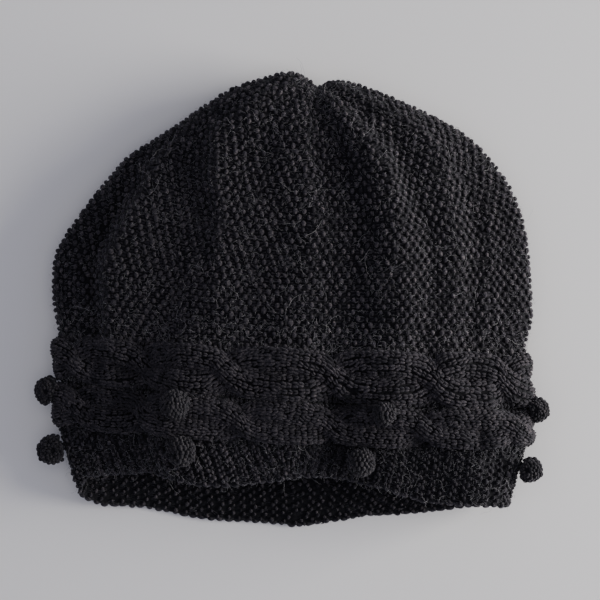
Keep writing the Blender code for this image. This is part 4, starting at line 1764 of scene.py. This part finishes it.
@dataclass
class Bobble:
    """A small knitted ball, worked into the fabric beside a crossing."""

    spec: BobbleSpec
    core_inset: float = 0.0008
    weld: float = 0.00001
    wale_pitch: float = 0.0029
    stitch_length: float = 0.0028
    # How light its wool is beside the crown's
    tone_share: float = 0.55
    # How far the ball's knots swell and sink, and how wide each is
    lump: float = 0.0009
    lump_width: float = 0.0045
    # How far from the ball's two ends the wales stop, the narrowest a stitch gets towards
    # them, and how far round the ball's back the wales reach
    end_deg: float = 14.0
    narrowest: float = 0.5
    hidden_share: float = -0.6
    # The neck that ties the ball to the fabric: its strands and how far they lie from its
    # middle line, how thick they are and how deep in the fabric they start
    neck_strands: int = 6
    neck_radius: float = 0.0016
    neck_thick: float = 0.0010
    neck_root: float = 0.0012
    neck_fineness: Smoothness = Smoothness(4, 6)
    # How far off the nearest fabric is looked for, in turns and in levels, and in how many steps
    near_turns: tuple[float, float] = (-0.5, 0.5)
    near_levels: tuple[float, float] = (-0.6, 0.2)
    near_steps: int = 41
    seed: int = 41

    def build(self) -> None:
        """Make the ball's core and the stitches round it."""
        core = self.core_mesh()
        tree = BVHTree.FromPolygons(
            [vertex.co.copy() for vertex in core.vertices],
            [tuple(face.vertices) for face in core.polygons],
        )
        middle = Vector(np.mean([vertex.co[:] for vertex in core.vertices], axis=0))
        piece = dress(core, BACKING)
        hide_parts(self.spec.node)
        self.add_stitches(tree, middle)

    def core_mesh(self) -> Mesh:
        """The ball under the stitches: the solid of the frame, rounded and drawn in."""
        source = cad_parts[self.spec.node]
        thing = bpy.data.objects.new(f"{self.spec.node}_core", source.data.copy())
        bpy.context.scene.collection.objects.link(thing)
        bpy.ops.object.select_all(action="DESELECT")
        bpy.context.view_layer.objects.active = thing
        thing.select_set(True)
        bpy.ops.object.mode_set(mode="EDIT")
        bpy.ops.mesh.select_all(action="SELECT")
        bpy.ops.mesh.remove_doubles(threshold=self.weld)
        bpy.ops.transform.shrink_fatten(value=-self.core_inset)
        bpy.ops.object.mode_set(mode="OBJECT")
        smooth = thing.modifiers.new("rounding", "SUBSURF")
        smooth.levels = 1
        smooth.render_levels = 1
        bpy.ops.object.modifier_apply(modifier=smooth.name)
        bpy.ops.object.shade_smooth()
        mesh = thing.data
        for vertex in mesh.vertices:
            vertex.co += vertex.normal * self.lump * noise.noise(vertex.co / self.lump_width)
        bpy.data.objects.remove(thing)
        mesh.name = f"{self.spec.node}_wool"
        return mesh

    def add_stitches(self, tree: BVHTree, middle: Vector) -> None:
        """Run columns of stitches over the ball, from end to end.

        Args:
            tree: The core's surface.
            middle: The core's middle.
        """
        spec = self.spec
        turn = np.array([math.radians(spec.turn_deg)])
        outward = Vector(FABRIC.normal(turn, np.array([spec.level]))[0])
        axis = Vector(-FABRIC.changes(turn, np.array([spec.level]), NORMAL_STEP)[0][0])
        axis = (axis - axis.dot(outward) * outward).normalized()
        across = outward.cross(axis)
        rng = np.random.default_rng(self.seed + sum(map(ord, spec.node)))
        reach = math.radians(180 - 2 * self.end_deg)
        wales = round(math.tau * spec.radius / self.wale_pitch)
        rows = round(reach * spec.radius / self.stitch_length)
        found = []
        for wale in range(wales):
            spin = math.tau * (wale + 0.5) / wales
            flat = math.cos(spin) * outward + math.sin(spin) * across
            for row in range(rows):
                share = (row + 0.25 + 0.5 * (wale % 2)) / rows
                tilt = math.radians(self.end_deg + (180 - 2 * self.end_deg) * share)
                ray = math.cos(tilt) * axis + math.sin(tilt) * flat
                hit, out, _, _ = tree.ray_cast(middle, ray)
                if hit is None or ray.dot(outward) < self.hidden_share:
                    continue
                along = math.cos(tilt) * flat - math.sin(tilt) * axis
                along = (along - along.dot(out) * out).normalized()
                origin = hit + out * (self.core_inset - STITCH_SINK)
                found.append((origin, along, out, max(self.narrowest, math.sin(tilt))))
        origin, right, out, height = (np.array(values) for values in zip(*found))
        places = Stitches(origin, right, np.cross(out, right), out, np.ones(len(found)), height)
        places = places.loosened(rng, *UNEVEN)
        knot = PurlBump(reach=0.0012, crest=0.0013, foot=-0.0010, bow=0.0, thick=0.00112, thin=0.00065)
        piece = Piece(f"{spec.node}_stitches")
        tone = tones_for(rng, len(places)) * self.tone_share
        piece.add(knot.strand(Smoothness(4, 6)), places, tone)
        self.add_neck(piece, rng, middle)
        piece.finish(Slot.BOBBLE)

    def add_neck(self, piece: Piece, rng: Random, middle: Vector) -> None:
        """Tie the ball to the nearest fabric with a neck of a few strands.

        Args:
            piece: The ball's stitches, which the neck is added to.
            rng: A seeded source of random numbers.
            middle: The core's middle.
        """
        turns = math.radians(self.spec.turn_deg) + np.linspace(*self.near_turns, self.near_steps)
        levels = self.spec.level + np.linspace(*self.near_levels, self.near_steps)
        near = face(turns, levels, self.neck_root).reshape(-1, 3)
        centre = np.array(middle)
        root = near[np.linalg.norm(near - centre, axis=1).argmin()]
        length = float(np.linalg.norm(centre - root))
        along = (centre - root) / length
        side = unit(np.cross(along, (0.0, 1.0, 0.0)))
        angles = (math.tau * np.arange(self.neck_strands) / self.neck_strands)[:, None]
        out = np.cos(angles) * side + np.sin(angles) * np.cross(along, side)
        up = np.broadcast_to(along, out.shape)
        size = np.ones(self.neck_strands)
        origin = root + self.neck_radius * out
        places = Stitches(origin, np.cross(up, out), up, out, size, size)
        sections, sides = self.neck_fineness
        path = np.linspace(0.0, 1.0, sections + 2)[:, None] * (0.0, length, 0.0)
        strand = Strand.along(path, np.full(sections, self.neck_thick), sides)
        piece.add(strand, places, tones_for(rng, self.neck_strands) * self.tone_share)


@dataclass(frozen=True)
class Hairs:
    """One kind of loose fibre: how many there are and how long, thick and light they are."""

    count: int
    shortest: float
    longest: float
    radius: float
    curl: float
    lift: float
    darkest: float
    lightest: float
    stations: int
    shapes: int
    top_level: float = POLE_LEVEL - 0.8


@dataclass
class Fuzz:
    """Loose fibres that stand off the wool, short ones all over and a few long ones."""

    kinds: tuple[Hairs, ...] = (
        Hairs(9000, 0.0015, 0.0045, 0.000040, 0.8, 0.0012, 0.0, 0.6, 4, 40),
        Hairs(1000, 0.0040, 0.0100, 0.000042, 2.2, 0.0018, 0.0, 0.6, 7, 80, 3.6),
        Hairs(160, 0.0070, 0.0170, 0.000045, 1.5, 0.0022, 0.3, 1.0, 9, 80),
    )
    seed: int = 51
    # The share of the fibres that are spread by turn, which puts more at the outline, and
    # how far past it they reach, in radians
    outline_share: float = 0.2
    past_outline: float = 0.6
    # Levels at which the hat's girth is measured, to spread the fibres evenly
    girths: int = 40
    # How wavy a fibre is, and how low its free end may lie, as a share of its kind's lift
    waviness: float = 0.3
    lowest_end: float = 0.3

    def build(self) -> None:
        """Scatter the fibres over the hat."""
        rng = np.random.default_rng(self.seed)
        piece = Piece("stray_fibres")
        for hairs in self.kinds:
            places = self.places(rng, hairs)
            shape_of = np.arange(hairs.count) % hairs.shapes
            tone = rng.uniform(hairs.darkest, hairs.lightest, hairs.count)
            for shape in range(hairs.shapes):
                chosen = shape_of == shape
                piece.add(self.hair(rng, hairs), places.only(chosen), tone[chosen])
        piece.finish(Slot.SEED, STRAY_FIBRE)

    def places(self, rng: Random, hairs: Hairs) -> Stitches:
        """Places spread evenly over the upper side, each turned at random.

        Args:
            rng: A seeded source of random numbers.
            hairs: The kind of fibre.

        Returns:
            The places.
        """
        count = hairs.count
        table = np.linspace(RIM_LEVEL, hairs.top_level, self.girths)
        lengths = np.array([Loop(float(level)).length for level in table])
        share = summed((lengths[1:] + lengths[:-1]) / 2)
        level = np.interp(rng.uniform(0.0, share[-1], count), share, table)
        even = np.arccos(rng.uniform(-1.0, 1.0, count))
        around = rng.uniform(-self.past_outline, math.pi + self.past_outline, count)
        turn = np.where(rng.uniform(size=count) < self.outline_share, around, even)
        return places_on_fabric(turn, level, 0.0).loosened(rng, 0.0, 180.0, 0.0)

    def hair(self, rng: Random, hairs: Hairs) -> Strand:
        """One loose fibre: rooted in the wool, curled, with a free end.

        Args:
            rng: A seeded source of random numbers.
            hairs: The kind of fibre.

        Returns:
            The fibre, as a thin strand.
        """
        share = np.linspace(0.0, 1.0, hairs.stations)
        heading = rng.normal(0.0, hairs.curl) * share
        heading = heading + rng.normal(0.0, self.waviness, hairs.stations)
        step = rng.uniform(hairs.shortest, hairs.longest) / (hairs.stations - 1)
        x = summed(np.cos(heading[1:]) * step)
        y = summed(np.sin(heading[1:]) * step)
        end = rng.uniform(self.lowest_end, 1.0) * hairs.lift
        z = ROOT_DEPTH + (end - ROOT_DEPTH) * np.sqrt(share)
        radius = np.full(hairs.stations - 2, hairs.radius)
        return Strand.along(np.stack((x, y, z), axis=1), radius, 3)


@dataclass(frozen=True)
class Studio:
    """The pale floor, the camera straight above and the soft light from the right."""

    metres_per_pixel: float = 0.00055
    image_size: int = 600
    view_x: float = 0.0045
    view_y: float = -0.0013
    camera_height: float = 1.25
    sharp_height: float = 0.020
    floor_size: float = 4.0
    floor_drop: float = 0.0002
    sensor: float = 36.0

    def build(self) -> None:
        """Add the floor, the camera and the lights."""
        self.add_floor()
        self.add_camera()
        self.add_lights()

    def add_floor(self) -> None:
        """Lay a plain pale floor under the hat."""
        bpy.ops.object.select_all(action="DESELECT")
        bpy.ops.mesh.primitive_plane_add(size=self.floor_size, location=(0.0, 0.0, -self.floor_drop))
        floor = bpy.context.active_object
        floor.name = "floor"
        look = Look("painted_floor", {"Base Color": linear("d9d5cf"), "Roughness": 0.8})
        floor.data.materials.append(look.material)

    def add_camera(self) -> None:
        """Set the camera straight above, with the pole at the top of the picture."""
        bpy.ops.object.camera_add(location=(self.view_x, self.view_y, self.camera_height))
        camera = bpy.context.active_object
        camera.rotation_euler = (0.0, 0.0, 0.0)
        camera.data.sensor_width = self.sensor
        width = self.metres_per_pixel * self.image_size
        camera.data.lens = self.sensor * (self.camera_height - self.sharp_height) / width
        camera.data.clip_end = 10.0
        bpy.context.scene.camera = camera

    def add_lights(self) -> None:
        """Set a large window-like light low on the right, and weak light all round."""
        self.add_light("window", (1.50, 0.06, 0.37), 0.9, 66.0)
        self.add_light("overhead", (-0.1, 0.0, 1.9), 1.6, 9.0)
        world = bpy.data.worlds.new("studio")
        bpy.context.scene.world = world
        world.use_nodes = True
        background = world.node_tree.nodes["Background"]
        background.inputs["Color"].default_value = linear("d2d8fa")
        background.inputs["Strength"].default_value = 0.46

    def add_light(
        self, name: str, place: tuple[float, float, float], size: float, power: float
    ) -> None:
        """Add one soft square light that faces the hat.

        Args:
            name: The light's name.
            place: Where it hangs.
            size: Its side.
            power: Its power in watts.
        """
        bpy.ops.object.light_add(type="AREA", location=place)
        light = bpy.context.active_object
        light.name = name
        light.data.size = size
        light.data.energy = power
        light.rotation_euler = (-Vector(place)).to_track_quat("-Z", "Y").to_euler()


def main() -> None:
    """Build the hat's looks and its studio."""
    logging.basicConfig(level=logging.INFO, format="%(message)s")
    Studio().build()
    Crown().build()
    for cable in CABLES:
        Cable(cable).build()
    Brim().build()
    for bobble in BOBBLES:
        Bobble(bobble).build()
    Fuzz().build()


if __name__ == "__main__":
    main()
